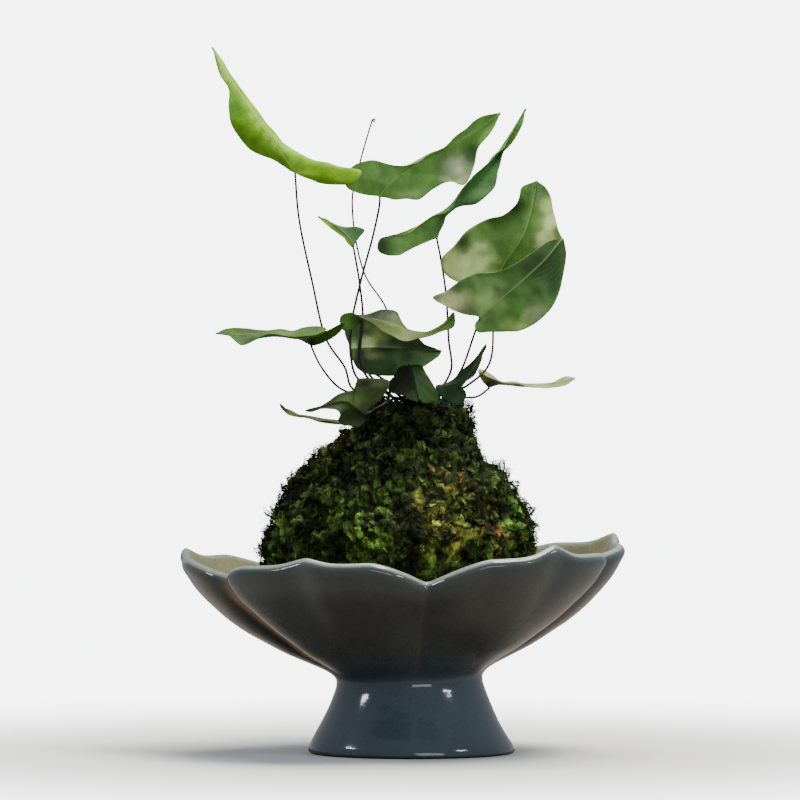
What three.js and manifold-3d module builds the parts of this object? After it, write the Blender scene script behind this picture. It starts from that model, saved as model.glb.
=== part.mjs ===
// A kokedama: a heart fern growing from a ball of moss that stands in a petal-rimmed stoneware bowl on a foot.
// Millimetres, +Z up. The front of the object faces -Y. The origin lies on the surface that the foot stands on,
// under the middle of the overall box, so the foot's own axis stands a little to one side of it.

import * as THREE from "three";
import { ImprovedNoise } from "three/addons/math/ImprovedNoise.js";
import { mergeVertices } from "three/addons/utils/BufferGeometryUtils.js";
import Module from "manifold-3d";

const wasm = await Module();
wasm.setup();

// Driving dimensions
const CLEARANCE = 0.3; // between pieces that touch on the real object
const FOOT_AXIS = { x: 3.5, y: -1.3 }; // where the foot's axis stands

const BOWL = {
  notches: [-65, 5, 72, 157, 222], // degrees from the front, towards +X
  notchDrops: [8.5, 12, 6.4, 9, 9], // how far below rimHeight the rim lies at each notch
  middles: [-26.5, 38.5, 109, 190, 258], // where the petal after each notch has its highest point
  footRadius: 37.2,
  footHollowRadius: 31,
  footRingWidth: 4.5,
  waistRadius: 26.3,
  waistHeight: 26.5,
  floorHeight: 34.5, // the inside floor
  wall: 3.8,
  rimRadius: 82.4, // at the middle of a petal
  rimHeight: 75.2, // at the middle of a petal
  lowered: [1.9, 0.6, -0.6, 0, -1], // how far below rimHeight a petal's middle stands
  peakRises: [2.5, 4.2, 3.6, 1.6, 3.6], // how far a petal's middle stands above its shoulders
  drawnIn: [0, 0, 0.06, 0, 0], // share of the radius by which a petal's rim stands further in
  flares: [0.006, 0.006, 0.04, 0.006, 0.034], // share of the radius by which a petal's very middle stands out
  notchInset: 0.145, // share of the radius that a notch cuts in
  lean: 2.1, // degrees: the bowl leans to the left, so its right side stands higher
  offset: 0.8, // how far to the left of the foot it sits
};

const MOSS = {
  restHeight: BOWL.floorHeight + 0.9, // where the ball's flat spot stands over the leaning floor
  flatRadius: 15, // the flat spot that the ball rests on
  widest: 49,
  widestHeight: 71,
  neckRadius: 21.5, // the moss drawn up round the crown
  topHeight: 126,
  crownHole: 13,
  shift: { ball: -4.3, crown: 1 }, // how far to the side the ball and the crown lie
  tuft: 1.1, // how far the tufts stand out or sink in
  lump: 1.9, // how far the broad lumps do
};

const SOIL = { topHeight: 108, topRadius: 18.5, thicknessOfMoss: 7 };

const RHIZOME = { radius: 11.4, topHeight: 124, rootDepth: 8, spiralStep: 2.3 };

const STEM = { radius: 0.55, sides: 6, stepsPerPoint: 3 };

const BLADE = { thickness: 0.8, cellsAcross: 2, sideRows: 8 };
const LOBE_POINTS = 3; // points of a margin that lie round the lobe

const GOLDEN_ANGLE = 137.5; // degrees between one frond and the next round the rhizome

// Each frond. midrib runs from the joint, where the stem meets the blade, to the tip. left and right are the
// margins as seen on the upper side with the tip up: the first three points go round the lobe behind the joint
// and the others run on to the tip. via holds the points that the stem passes on its way up from its place on the
// rhizome, and arrive is the side from which it meets the blade. Points are [x, y, z].
const FRONDS = [
  {
    name: "top_left",
    place: 9,
    midrib: [[-42, 0, 208.5], [-48, 6, 217.5], [-57, 14, 230.5], [-65.5, 23.5, 243.5], [-73, 34, 256.5]],
    left: [
      [-32, -4, 205.5], [-21.5, -10.5, 204], [-18, -10, 208.5], [-24.5, -5.5, 210], [-33, 1, 211],
      [-40.5, 8.5, 214], [-46.5, 16, 219.5], [-52.5, 20.5, 226], [-59, 26, 236], [-65, 29, 243.5],
    ],
    right: [
      [-43.5, 4, 211], [-44.5, 9, 213], [-47.5, 13.5, 214.5], [-53, 13, 215], [-58.5, 13.5, 217.5],
      [-62.5, 14.5, 221.5], [-65.5, 15, 227], [-66.5, 16.5, 233], [-66.5, 20.5, 239.5],
      [-70, 26.5, 245.5],
    ],
    via: [
      [-14, 4, 128.2], [-21.5, 5, 131], [-24.1, 5.4, 138.4], [-30.7, 5.6, 148.4], [-36, 4, 169.9],
      [-40.6, 1, 192.2],
    ],
    arrive: [0.1, 0, -1],
  },
  {
    name: "top_middle",
    place: 14,
    midrib: [
      [-11.5, 0, 200], [-8.5, -3, 203.5], [-0.5, -7.5, 211], [11.5, -13, 216.5], [22.5, -15.5, 223],
      [32, -16, 229.5],
    ],
    left: [
      [-18, 5, 201], [-23.5, 9.5, 204], [-22.5, 7.5, 210], [-15.5, 0.5, 213], [-8.5, -6.5, 211.5],
      [-1.5, -13, 210.5], [5, -18.5, 213.5], [11.5, -21.5, 217], [18, -22, 223], [25, -21, 227.5],
    ],
    right: [
      [-9, 0, 199.5], [-6.5, -0.5, 199], [-3, -2, 199], [2.5, -7, 198.5], [7.5, -12, 202],
      [13.5, -16, 204.5], [18.5, -18.5, 203.5], [22, -20, 210], [23.5, -19, 216], [27.5, -19, 221],
    ],
    via: [
      [-9, 8.5, 129], [-19.5, 8.5, 134.5], [-22, 7.5, 142.5], [-21.9, 7, 153], [-18.3, 6, 169.9],
      [-14, 4, 185.7], [-11.6, 2, 197],
    ],
    arrive: [-0.3, 0.1, -1],
  },
  {
    name: "tall_right",
    place: 3,
    midrib: [
      [9, 0, 185], [10.5, 0.5, 189.5], [13.5, 3, 195], [18, 7.5, 200], [25, 14, 207], [32, 23, 217.5],
      [42, 35.5, 234],
    ],
    left: [
      [3, -2, 183.5], [-5, -6, 178.5], [-12, -8.5, 180], [-11.5, -7, 184.5], [-2.5, -4.5, 186.5],
      [7, -2.5, 191.5], [13, -3, 195], [18.5, 0.5, 202.5], [25.5, 7, 210], [34.5, 20.5, 220.5],
    ],
    right: [
      [9, 2.5, 186], [10, 6, 187.5], [11, 9, 190.5], [13, 10, 194.5], [17.5, 9.5, 196.5],
      [23.5, 10, 198.5], [30, 12, 203.5], [31.5, 15, 210], [33.5, 20, 216], [40, 29, 225.5],
    ],
    via: [[9, 4, 129], [14.2, 5, 137.5], [13.4, 6, 148.3], [12.4, 6.5, 165], [11, 6, 175]],
    arrive: [0.15, 0.5, -1],
  },
  {
    name: "upper_right",
    place: 8,
    midrib: [[29.5, 4, 169.5], [33.5, 5.5, 176.5], [40, 8.5, 186], [43.5, 15, 196.5], [45.5, 22, 206.5]],
    left: [
      [24, 2.5, 168.5], [17, 0.5, 169], [11.5, -1.5, 172.5], [10.5, -2, 177], [15, -0.5, 182],
      [19.5, 2.5, 187.5], [26, 6, 191.5], [33, 6, 193.5], [37.5, 8, 197.5], [40, 16, 204],
    ],
    right: [
      [33, 3.5, 165.5], [39, 5, 164], [46.5, 9, 166.5], [52.5, 12.5, 172], [55.5, 14, 178],
      [55, 14, 184.5], [53, 14.5, 189], [51.5, 16.5, 195.5], [50.5, 19, 201], [48.5, 20.5, 204.5],
    ],
    via: [[14, 3, 128.6], [21, 2.5, 132.6], [27, 3, 138], [28.9, 3.4, 143], [29.4, 4, 152]],
    arrive: [0, 0.3, -1],
  },
  {
    name: "lower_right",
    place: 5,
    midrib: [
      [24.5, -12, 156.5], [31.5, -17.5, 162.5], [39, -21.5, 169], [47.5, -23.5, 177], [54, -24, 184.5],
    ],
    left: [
      [19.5, -9.5, 157.5], [13.5, -7.5, 159.5], [7.5, -6.5, 163.5], [12.5, -8, 166],
      [17.5, -11.5, 169.5], [23.5, -16.5, 172], [30.5, -22, 172.5], [36, -25, 174.5], [42, -25, 178.5],
      [48.5, -23, 183],
    ],
    right: [
      [22.5, -11, 153.5], [23.5, -10.5, 151], [28, -13, 151], [33.5, -15.5, 151], [39, -18.5, 151.5],
      [44, -21, 154], [49.5, -23, 159], [52.5, -23.5, 165], [54, -23, 171.5], [55, -23.5, 178.5],
    ],
    via: [[10.5, -4.5, 128.4], [16, -6, 134.6], [18.5, -6.5, 139], [22, -7.5, 149]],
    arrive: [-0.1, 1, -0.6],
  },
  {
    name: "small_middle",
    place: 1,
    midrib: [[-21, -1, 182], [-23.5, -1, 185.5], [-27.5, -2, 189], [-34, -3, 192.5]],
    left: [
      [-21.5, 0, 182], [-22, -2, 182], [-23, -4, 183], [-24.5, -4, 185], [-26.5, -4, 186.5],
      [-28.5, -4, 188], [-31, -4, 190],
    ],
    right: [
      [-20, 2, 185], [-17, 4, 188], [-20, 3, 189], [-23.5, 2, 189], [-26.5, 1, 190], [-29, 0, 191],
      [-31, -1, 192],
    ],
    via: [[-6, 3, 129.5], [-14.5, 4.5, 135], [-18.3, 5.5, 142], [-17.6, 5, 157], [-18.8, 1, 169]],
    arrive: [0.05, 0, -1],
  },
  {
    name: "far_left",
    place: 12,
    midrib: [
      [-36, -14, 146], [-40, -15, 148], [-45, -18, 149.5], [-53.5, -21, 150], [-61, -24.5, 149.5],
      [-70, -26.5, 150],
    ],
    left: [
      [-33.5, -17, 147], [-28.5, -19.5, 149], [-24, -20.5, 154], [-28, -23.5, 152], [-33.5, -27, 150.5],
      [-39, -29, 149.5], [-45.5, -30, 149.5], [-52, -31, 149.5], [-60, -31.5, 146], [-65, -29, 149.5],
    ],
    right: [
      [-35.5, -10.5, 148], [-32, -6, 151], [-31, -1.5, 153], [-34.5, 0.5, 153.5], [-39, 0, 153],
      [-43, -1, 151.5], [-47.5, -3.5, 151.5], [-53.5, -7, 152], [-59.5, -13, 152.5], [-65, -20, 152.5],
    ],
    via: [[-9.5, -4.5, 127.8], [-18, -8, 128.4], [-25.8, -10, 131], [-32.6, -13, 138.9]],
    arrive: [0.5, 0.1, -1],
  },
  {
    name: "middle",
    place: 4,
    midrib: [
      [-18, -7, 155], [-13, -8.5, 155], [-6, -11, 153], [2, -13, 150], [9.5, -13, 152],
      [15.5, -12.5, 158],
    ],
    left: [
      [-19, -6, 157], [-19.5, -3.5, 157.5], [-18, 0, 157.5], [-14.5, 1, 158], [-10, 1, 159],
      [-5.5, 0, 158.5], [-3.5, -1.5, 156], [-1.5, -4, 152.5], [5, -8, 151], [12, -10.5, 155],
    ],
    right: [
      [-21, -8.5, 152.5], [-24.5, -11.5, 151.5], [-25.5, -14, 156], [-21.5, -17, 158],
      [-16.5, -19.5, 155.5], [-10.5, -22, 152], [-4, -23.5, 148], [3.5, -22.5, 149], [9.5, -19, 150.5],
      [15, -15.5, 153],
    ],
    via: [[-8, -1.5, 129], [-15.5, -2.5, 134.4], [-18.9, -4, 141], [-18.6, -6, 149]],
    arrive: [0, 0.1, -1],
  },
  {
    name: "shaded",
    place: 11,
    midrib: [[-22, 10, 145], [-14.5, 9, 145.5], [-2.5, 8, 145.5], [11, 8, 144.5]],
    left: [
      [-23, 11, 147.5], [-24.5, 12, 151], [-22, 12, 155.5], [-15.5, 12, 155.5], [-10, 10, 154.5],
      [-5, 8, 153], [-0.5, 6, 151], [3, 6, 148.5], [5, 6, 146.5], [8.5, 7, 145.5],
    ],
    right: [
      [-22.5, 11, 143], [-21.5, 12, 141.5], [-19.5, 12, 138.5], [-16.5, 11, 136.5], [-12, 9, 135.5],
      [-5.5, 7, 135.5], [-0.5, 5, 137], [4, 4.5, 138.5], [7, 5, 140.5], [10, 7, 142.5],
    ],
    via: [[0, 11, 128.6], [-9, 13.5, 133.5], [-17.5, 14.5, 139.5]],
    arrive: [0.1, 1, -0.5],
  },
  {
    name: "front",
    place: 2,
    midrib: [[-1, -11, 139], [0, -17, 137.5], [1, -25, 134], [3, -37, 126]],
    left: [
      [1, -8, 139.5], [3.5, -4, 139], [5, -4, 137], [6.5, -8, 134.5], [7.5, -11, 132.5],
      [8.5, -16, 130.5], [10, -21, 128], [9.5, -27, 126.5], [7.5, -31, 126], [5, -35, 125.5],
    ],
    right: [
      [-3, -8, 139], [-5, -5, 138], [-6.5, -5, 135.5], [-8, -7, 133.5], [-8.5, -11, 131.5],
      [-8, -16, 129.5], [-7, -21, 129], [-5, -26, 128.5], [-3, -31, 128], [-0.5, -35, 126.5],
    ],
    via: [[0, -5.8, 128.4], [-0.8, -9, 133]],
    arrive: [0, 0, -1],
  },
  {
    name: "low_left",
    place: 15,
    midrib: [
      [-16.5, -24, 121.5], [-20, -26, 124], [-23.5, -27, 126], [-30.5, -28, 124.5], [-38, -29, 122.5],
    ],
    left: [
      [-17, -24.5, 119], [-19, -25.5, 117], [-22, -27, 117.5], [-24.5, -28, 118], [-26, -29, 119.5],
      [-25.5, -29.5, 121.5], [-26.5, -29.5, 123], [-29, -29.5, 123.5], [-32.5, -29.5, 123.5],
      [-35.5, -29.5, 122.5],
    ],
    right: [
      [-14, -23, 124], [-9.5, -23, 129], [-8, -22, 133.5], [-13.5, -22, 134.5], [-19.5, -21, 134],
      [-19.5, -23, 131], [-22.5, -24.5, 130], [-26, -26, 129], [-30, -27, 126], [-33.5, -28, 124],
    ],
    via: [[-1.4, -11, 127.4], [-6, -15, 127.2], [-11, -19.5, 124.6]],
    arrive: [0.3, 1, 0.2],
  },
  {
    name: "drooping_left",
    place: 7,
    midrib: [
      [-22, -17, 118], [-29, -17, 119], [-37, -15.5, 120.5], [-43, -13.5, 121.5], [-47.5, -12.5, 125],
    ],
    left: [
      [-21, -19.5, 118], [-20, -22.5, 117.5], [-22, -24, 117.5], [-25, -25, 118], [-28.5, -25, 118.5],
      [-32.5, -24, 119], [-36.5, -21.5, 120], [-40.5, -19.5, 120.5], [-44, -16.5, 121.5],
      [-46.5, -14, 123.5],
    ],
    right: [
      [-21.5, -15, 118.5], [-21.5, -12, 119], [-23.5, -9.5, 119.5], [-26.5, -7.5, 119.5],
      [-30, -6.5, 120], [-34, -6.5, 120.5], [-37.5, -7.5, 121], [-41, -8.5, 122], [-43.5, -9.5, 123],
      [-46, -11, 124],
    ],
    via: [[-5, -7.5, 127.4], [-12.5, -12, 127.2], [-18.5, -15.5, 124]],
    arrive: [0.5, 0.1, 1],
  },
  {
    name: "dark_right",
    place: 10,
    midrib: [[17.5, -14.5, 131.5], [20, -14, 135], [22.5, -12.5, 139.5], [26.5, -10, 147]],
    left: [
      [19.5, -14.5, 129], [17.5, -15, 125], [12, -15, 126.5], [8.5, -13, 131.5], [12, -11, 133],
      [15, -10.5, 134.5], [17.5, -10.5, 137], [20, -11, 139], [23, -11.5, 142], [25, -11, 145],
    ],
    right: [
      [18.5, -14, 133], [19.5, -13, 134], [21, -11.5, 135], [22.5, -9.5, 135.5], [23.5, -8.5, 137],
      [24.5, -8, 139], [25.5, -8, 141], [26, -8.5, 143], [27, -9, 145.5],
    ],
    via: [[6, -7.5, 127.8], [13, -9.5, 128.8]],
    arrive: [-0.4, 1, -0.5],
  },
  {
    name: "far_right",
    place: 13,
    midrib: [[28, 2, 131], [33.5, 5, 132.5], [43, 11.5, 132], [51.5, 18.5, 132.5], [60, 26, 134.5]],
    left: [
      [27, 4.5, 132], [25, 6.5, 134.5], [24, 9, 137.5], [27, 12.5, 136.5], [31.5, 15.5, 134.5],
      [36, 18, 133.5], [41, 20.5, 132.5], [46.5, 23, 132.5], [51.5, 24.5, 133.5], [56.5, 26, 135.5],
    ],
    right: [
      [27.5, -1, 131.5], [25.5, -3.5, 134], [24.5, -6.5, 136.5], [27.5, -6.5, 135], [31.5, -5, 133],
      [35.5, -2, 132.5], [39.5, 1, 132], [45, 5.5, 131], [50, 11, 131], [56, 19, 132],
    ],
    via: [[12, -0.6, 127.6], [18, 0, 127.6], [23.7, 1, 128]],
    arrive: [-0.7, 0, -0.7],
  },
];

// The youngest frond, still a rolled crozier on a long stem.
const CROZIER = {
  place: 6,
  turns: 1.6,
  radius: 1.7,
  via: [[-0.6, 7, 128.4], [-7, 15.5, 148], [-9.2, 14, 159.8], [-17.2, 12, 172.8], [-21.5, 12, 198.7], [-18.6, 13, 213.1], [-14.3, 14, 228]],
};

const radians = THREE.MathUtils.degToRad;
const vector = (p) => new THREE.Vector3(...p);
const smoothCurve = (points) => new THREE.CatmullRomCurve3(points.map(vector), false, "centripetal");

// Solids

// A three.js geometry as a manifold solid: shared vertices merged, collapsed triangles dropped.
function solidFrom(geometry) {
  const bare = geometry.index ? geometry.toNonIndexed() : geometry.clone();
  for (const name of Object.keys(bare.attributes)) {
    if (name !== "position") bare.deleteAttribute(name);
  }
  const merged = mergeVertices(bare, 1e-4);
  const kept = [];
  const index = merged.index.array;
  for (let i = 0; i < index.length; i += 3) {
    const [a, b, c] = index.slice(i, i + 3);
    if (a !== b && b !== c && a !== c) kept.push(a, b, c);
  }
  return new wasm.Manifold(
    new wasm.Mesh({
      numProp: 3,
      vertProperties: Float32Array.from(merged.attributes.position.array),
      triVerts: Uint32Array.from(kept),
    }),
  );
}

// The largest of the bodies that a cut leaves.
function mainBody(solid) {
  return solid.decompose().reduce((a, b) => (a.volume() > b.volume() ? a : b));
}

function geometryFrom(solid) {
  const { numProp, numVert, vertProperties, triVerts } = solid.getMesh();
  const positions = new Float32Array(numVert * 3);
  for (let i = 0; i < numVert; i++) {
    positions.set(vertProperties.subarray(i * numProp, i * numProp + 3), i * 3);
  }
  const geometry = new THREE.BufferGeometry();
  geometry.setAttribute("position", new THREE.BufferAttribute(positions, 3));
  geometry.setIndex(new THREE.BufferAttribute(triVerts, 1));
  geometry.computeVertexNormals();
  return geometry;
}

function movePoints(geometry, move) {
  const positions = geometry.attributes.position;
  const point = new THREE.Vector3();
  for (let i = 0; i < positions.count; i++) {
    move(point.fromBufferAttribute(positions, i));
    positions.setXYZ(i, point.x, point.y, point.z);
  }
  return geometry;
}

// How far the ball's middle lies to the side at a height: it stands to the left in the bowl, its crown to the right.
function ballShift(height) {
  const { ball, crown } = MOSS.shift;
  return ball + (crown - ball) * THREE.MathUtils.smoothstep(height, 96, 118);
}

function shiftBall(point) {
  point.x += ballShift(point.z);
}

// A profile of [radius, height] points turned about the Z axis. Angles run from the front, -Y, towards +X.
function turned(profile, segments, firstAngle = 0) {
  const points = profile.map(([radius, height]) => new THREE.Vector2(radius, height));
  return new THREE.LatheGeometry(points, segments, firstAngle).rotateX(Math.PI / 2);
}

// A round rod along a path.
function rod(path, radius, steps) {
  const section = new THREE.Shape();
  for (let i = 0; i < STEM.sides; i++) {
    const angle = (2 * Math.PI * i) / STEM.sides;
    const [x, y] = [radius * Math.cos(angle), radius * Math.sin(angle)];
    if (i === 0) section.moveTo(x, y);
    else section.lineTo(x, y);
  }
  return new THREE.ExtrudeGeometry(section, { steps, extrudePath: path, bevelEnabled: false });
}

// Materials

const GLAZE = new THREE.MeshStandardMaterial({ color: 0x565c57, roughness: 0.15, metalness: 0 });
const LIVE_MOSS = new THREE.MeshStandardMaterial({ color: 0x3c4a16, roughness: 0.95, metalness: 0 });
const WET_SOIL = new THREE.MeshStandardMaterial({ color: 0x2b1d12, roughness: 0.95, metalness: 0 });
const ROOTSTOCK = new THREE.MeshStandardMaterial({ color: 0x2a1a10, roughness: 0.85, metalness: 0 });
const WIRY_STEM = new THREE.MeshStandardMaterial({ color: 0x1c1512, roughness: 0.45, metalness: 0 });
const LEAF_GREEN = new THREE.MeshStandardMaterial({ color: 0x3d6428, roughness: 0.35, metalness: 0 });
const YOUNG_LEAF = new THREE.MeshStandardMaterial({ color: 0x76a52c, roughness: 0.4, metalness: 0 });

// Bowl

// Where an angle lies on its petal: 0 at the petal's middle and 1 at a notch, with how deep that notch is.
function onPetal(angle) {
  const { notches, middles, notchDrops, lowered, peakRises, drawnIn, flares } = BOWL;
  const turned = angle < notches[0] ? angle + 360 : angle;
  const i = notches.findLastIndex((notch) => turned >= notch);
  const next = (i + 1) % notches.length;
  const end = notches[next] + (next === 0 ? 360 : 0);
  const before = turned < middles[i];
  return {
    share: before
      ? (middles[i] - turned) / (middles[i] - notches[i])
      : (turned - middles[i]) / (end - middles[i]),
    drop: notchDrops[before ? i : next],
    shoulder: peakRises[i] + lowered[i],
    peakRise: peakRises[i],
    inward: drawnIn[i],
    flare: flares[i],
  };
}

// Turns the plain round cup into petals. Below the waist the bowl stays round.
function shapePetals(point) {
  const { waistRadius, waistHeight, rimHeight, notchInset, lean } = BOWL;
  const { clamp, smoothstep } = THREE.MathUtils;
  const angle = THREE.MathUtils.radToDeg(Math.atan2(point.x, -point.y));
  const { share, drop, shoulder, peakRise, inward, flare } = onPetal(angle);
  const rise = clamp((point.z - waistHeight) / (rimHeight - waistHeight), 0, 1);
  const away = smoothstep(Math.hypot(point.x, point.y), waistRadius * 0.5, waistRadius * 1.5);
  const inset = notchInset * (0.3 * share ** 2 + 0.7 * share ** 5) + inward * rise * (1 - share ** 2);
  const outward = flare * Math.exp(-((share / 0.16) ** 2));
  const pull = 1 - away * Math.min(1, rise * 3) * (inset - outward * rise);
  const edge = smoothstep(rise, 0.4, 1);
  const peak = peakRise * Math.exp(-((share / 0.17) ** 2));
  const dip = (drop - shoulder) * clamp((share - 0.55) / 0.45, 0, 1) ** 1.4;
  point.x *= pull;
  point.y *= pull;
  point.z += edge * (peak - shoulder - dip);
  const slope = Math.tan(radians(lean));
  const height = point.z;
  point.z += point.x * slope * smoothstep(height, 4, 20);
  point.x -= BOWL.offset * smoothstep(height, 0, 10);
}

function buildBowl() {
  const { wall, rimRadius, rimHeight, waistRadius, waistHeight, footRadius, floorHeight } = BOWL;
  const underside = floorHeight - 5.5;
  const profile = [
    [0, underside],
    [waistRadius - 7.5, underside - 1],
    [waistRadius - 5, waistHeight - 4],
    [BOWL.footHollowRadius - 3.6, 9],
    [BOWL.footHollowRadius, 0.8],
    [footRadius - BOWL.footRingWidth, 0],
    [footRadius - 0.7, 0],
    [footRadius, 0.8],
    [32, 11],
    [28, 20],
    [waistRadius, waistHeight],
    [waistRadius + 2, 29.2],
    [36.9, 33.5],
    [44.6, 37],
    [51.9, 41],
    [58.8, 45],
    [65.1, 49.6],
    [71, 55.4],
    [76.6, 62],
    [80.4, 68.2],
    [rimRadius, rimHeight - 3],
    [rimRadius - 0.7, rimHeight - 0.9],
    [rimRadius - 2, rimHeight],
    [rimRadius - wall + 0.6, rimHeight - 0.9],
    [80 - wall, 68.6],
    [74.6 - wall, 61],
    [67.4 - wall, 54],
    [57.7 - wall, 47.2],
    [46.6 - wall, 41.4],
    [34 - wall, 36.6],
    [24, 34.8],
    [0, floorHeight],
  ];
  const cup = turned(profile, 60, radians(BOWL.notches[1]));
  return solidFrom(movePoints(cup, shapePetals));
}

// Moss ball and what it wraps

const noise = new ImprovedNoise();

// Lumps and tufts on the outside of the moss. The flat spot, the lip and the inside stay as they are.
function roughenMoss(point, outside) {
  const height = THREE.MathUtils.clamp((point.z - MOSS.restHeight) / 8, 0, 1);
  const lip = THREE.MathUtils.clamp((MOSS.topHeight - point.z) / 6, 0, 1);
  const lump = noise.noise(point.x / 15 + 3.1, point.y / 15 + 1.7, point.z / 15);
  const tuft = noise.noise(point.x * 0.83, point.y * 0.83, point.z * 0.83 + 9.2);
  const swell = height * lip * (MOSS.lump * lump * 1.6 + MOSS.tuft * tuft * 1.8);
  point.addScaledVector(outside, swell);
}

// The outside of the moss, from the flat spot up to the lip.
function mossProfile() {
  const { widest, widestHeight, neckRadius, topHeight, crownHole } = MOSS;
  return [
    [0, MOSS.restHeight],
    [MOSS.flatRadius, MOSS.restHeight],
    [26, MOSS.restHeight + 2.6],
    [36, 44.5],
    [44, 52.5],
    [48, 61],
    [widest, widestHeight],
    [48, 79],
    [45.6, 87],
    [42, 94],
    [37, 100.5],
    [31, 106.5],
    [25.6, 111.5],
    [neckRadius + 1, 116.5],
    [neckRadius, 121],
    [neckRadius - 2.2, 124.8],
    [crownHole + 3, topHeight],
    [crownHole + 0.8, topHeight - 1],
  ];
}

// The hollow that the soil fills, up to the hole that the fern grows out of.
function hollowProfile() {
  const { widest, widestHeight, restHeight } = MOSS;
  const inside = widest - SOIL.thicknessOfMoss;
  return [
    [SOIL.topRadius, SOIL.topHeight],
    [25, 103.6],
    [33, 94.5],
    [inside - 1.6, 83],
    [inside, widestHeight - 1],
    [inside - 2.6, 59],
    [33, 49.6],
    [22, 44.4],
    [0, restHeight + SOIL.thicknessOfMoss],
  ];
}

function buildMoss() {
  const outer = mossProfile();
  const throat = [
    [MOSS.crownHole, MOSS.topHeight - 4],
    [MOSS.crownHole, SOIL.topHeight + 2],
    [MOSS.crownHole + 1.4, SOIL.topHeight],
  ];
  const jacket = turned([...outer, ...throat, ...hollowProfile()], 40);
  const middle = new THREE.Vector3(0, 0, 68);
  const shaped = movePoints(jacket, (point) => {
    const reach = Math.hypot(point.x, point.y);
    const skin = outer.some(([radius, height]) => Math.hypot(radius - reach, height - point.z) < 0.01);
    if (skin && reach > 0.01) roughenMoss(point, point.clone().sub(middle).normalize());
    shiftBall(point);
  });
  return solidFrom(shaped);
}

function buildSoil() {
  const heart = new THREE.Vector2(0, 70);
  const shrunk = hollowProfile().map(([radius, height]) => {
    const point = new THREE.Vector2(radius, height);
    return point.sub(heart).setLength(point.length() - 1.5 * CLEARANCE).add(heart).toArray();
  });
  const profile = [[0, SOIL.topHeight - CLEARANCE], ...shrunk].reverse();
  return solidFrom(movePoints(turned(profile, 30), shiftBall));
}

// Rhizome

function rhizomePlace(place) {
  const reach = RHIZOME.spiralStep * Math.sqrt(place + 0.5);
  const angle = radians(place * GOLDEN_ANGLE);
  return [MOSS.shift.crown + reach * Math.cos(angle), reach * Math.sin(angle)];
}

function buildRhizome(sockets) {
  const bottom = SOIL.topHeight;
  const { radius, topHeight } = RHIZOME;
  const profile = [
    [0, bottom],
    [radius - 1.5, bottom],
    [radius, bottom + 2.5],
    [radius - 0.4, bottom + 7],
    [radius - 1.2, topHeight - 4.5],
    [radius - 4, topHeight - 1.4],
    [radius - 7.5, topHeight],
    [0, topHeight + 0.6],
  ];
  const knobbly = movePoints(turned(profile, 20), (point) => {
    const bump = noise.noise(point.x * 0.7, point.y * 0.7, point.z * 0.6);
    const free = THREE.MathUtils.clamp((point.z - bottom) / 3, 0, 1);
    const swell = 1 + 0.07 * bump * free;
    point.x *= swell;
    point.y *= swell;
    shiftBall(point);
  });
  let stock = solidFrom(knobbly);
  for (const socket of sockets) stock = stock.subtract(socket);
  return mainBody(stock);
}

// Blades

// The mid-surface of a blade: rows of points from the right margin over the midrib to the left margin.
// The rows of the lobes all start at the joint, like the veins that fan out from it.
function bladeRows(frond) {
  const joint = frond.midrib[0];
  const tip = frond.midrib.at(-1);
  const midrib = smoothCurve(frond.midrib);
  const margins = [frond.right, frond.left].map((margin) => smoothCurve([joint, ...margin, tip]));
  const rows = [];
  for (let i = 1; i <= LOBE_POINTS + BLADE.sideRows; i++) {
    const share = Math.max(0, i - LOBE_POINTS) / BLADE.sideRows;
    const spine = midrib.getPoint(share);
    const row = [];
    for (let j = -BLADE.cellsAcross; j <= BLADE.cellsAcross; j++) {
      const margin = margins[j < 0 ? 0 : 1];
      const lobeEnd = LOBE_POINTS / (margin.points.length - 1);
      const along = i < LOBE_POINTS ? (lobeEnd * i) / LOBE_POINTS : lobeEnd + (1 - lobeEnd) * share;
      row.push(spine.clone().lerp(margin.getPoint(along), Math.abs(j) / BLADE.cellsAcross));
    }
    rows.push(row);
  }
  return rows;
}

// The normals of a mid-surface, the same wherever its points coincide.
function bladeNormals(rows) {
  const width = rows[0].length;
  const index = [];
  for (let i = 0; i + 1 < rows.length; i++) {
    for (let j = 0; j + 1 < width; j++) {
      const a = i * width + j;
      index.push(a, a + width, a + width + 1, a, a + width + 1, a + 1);
    }
  }
  const sheet = new THREE.BufferGeometry().setFromPoints(rows.flat());
  sheet.setIndex(index);
  const merged = mergeVertices(sheet, 1e-3);
  merged.computeVertexNormals();
  const normals = [];
  const { position, normal } = merged.attributes;
  const corner = new THREE.Vector3();
  for (const point of rows.flat()) {
    let nearest = 0;
    for (let i = 1; i < position.count; i++) {
      if (corner.fromBufferAttribute(position, i).distanceTo(point) < 1e-3) nearest = i;
    }
    normals.push(new THREE.Vector3().fromBufferAttribute(normal, nearest));
  }
  return rows.map((row, i) => normals.slice(i * width, i * width + row.length));
}

// A thin solid with the same triangles on both faces, walled all round.
function sheetSolid(top, bottom) {
  const positions = [];
  const quad = (a, b, c, d) => {
    for (const point of [a, b, c, a, c, d]) positions.push(point.x, point.y, point.z);
  };
  const last = top.length - 1;
  const width = top[0].length - 1;
  for (let i = 0; i < last; i++) {
    for (let j = 0; j < width; j++) {
      quad(top[i][j], top[i + 1][j], top[i + 1][j + 1], top[i][j + 1]);
      quad(bottom[i + 1][j], bottom[i][j], bottom[i][j + 1], bottom[i + 1][j + 1]);
    }
    quad(bottom[i][0], bottom[i + 1][0], top[i + 1][0], top[i][0]);
    quad(top[i][width], top[i + 1][width], bottom[i + 1][width], bottom[i][width]);
  }
  for (let j = 0; j < width; j++) {
    quad(bottom[0][j], top[0][j], top[0][j + 1], bottom[0][j + 1]);
  }
  const geometry = new THREE.BufferGeometry();
  geometry.setAttribute("position", new THREE.Float32BufferAttribute(positions, 3));
  return geometry;
}

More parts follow.
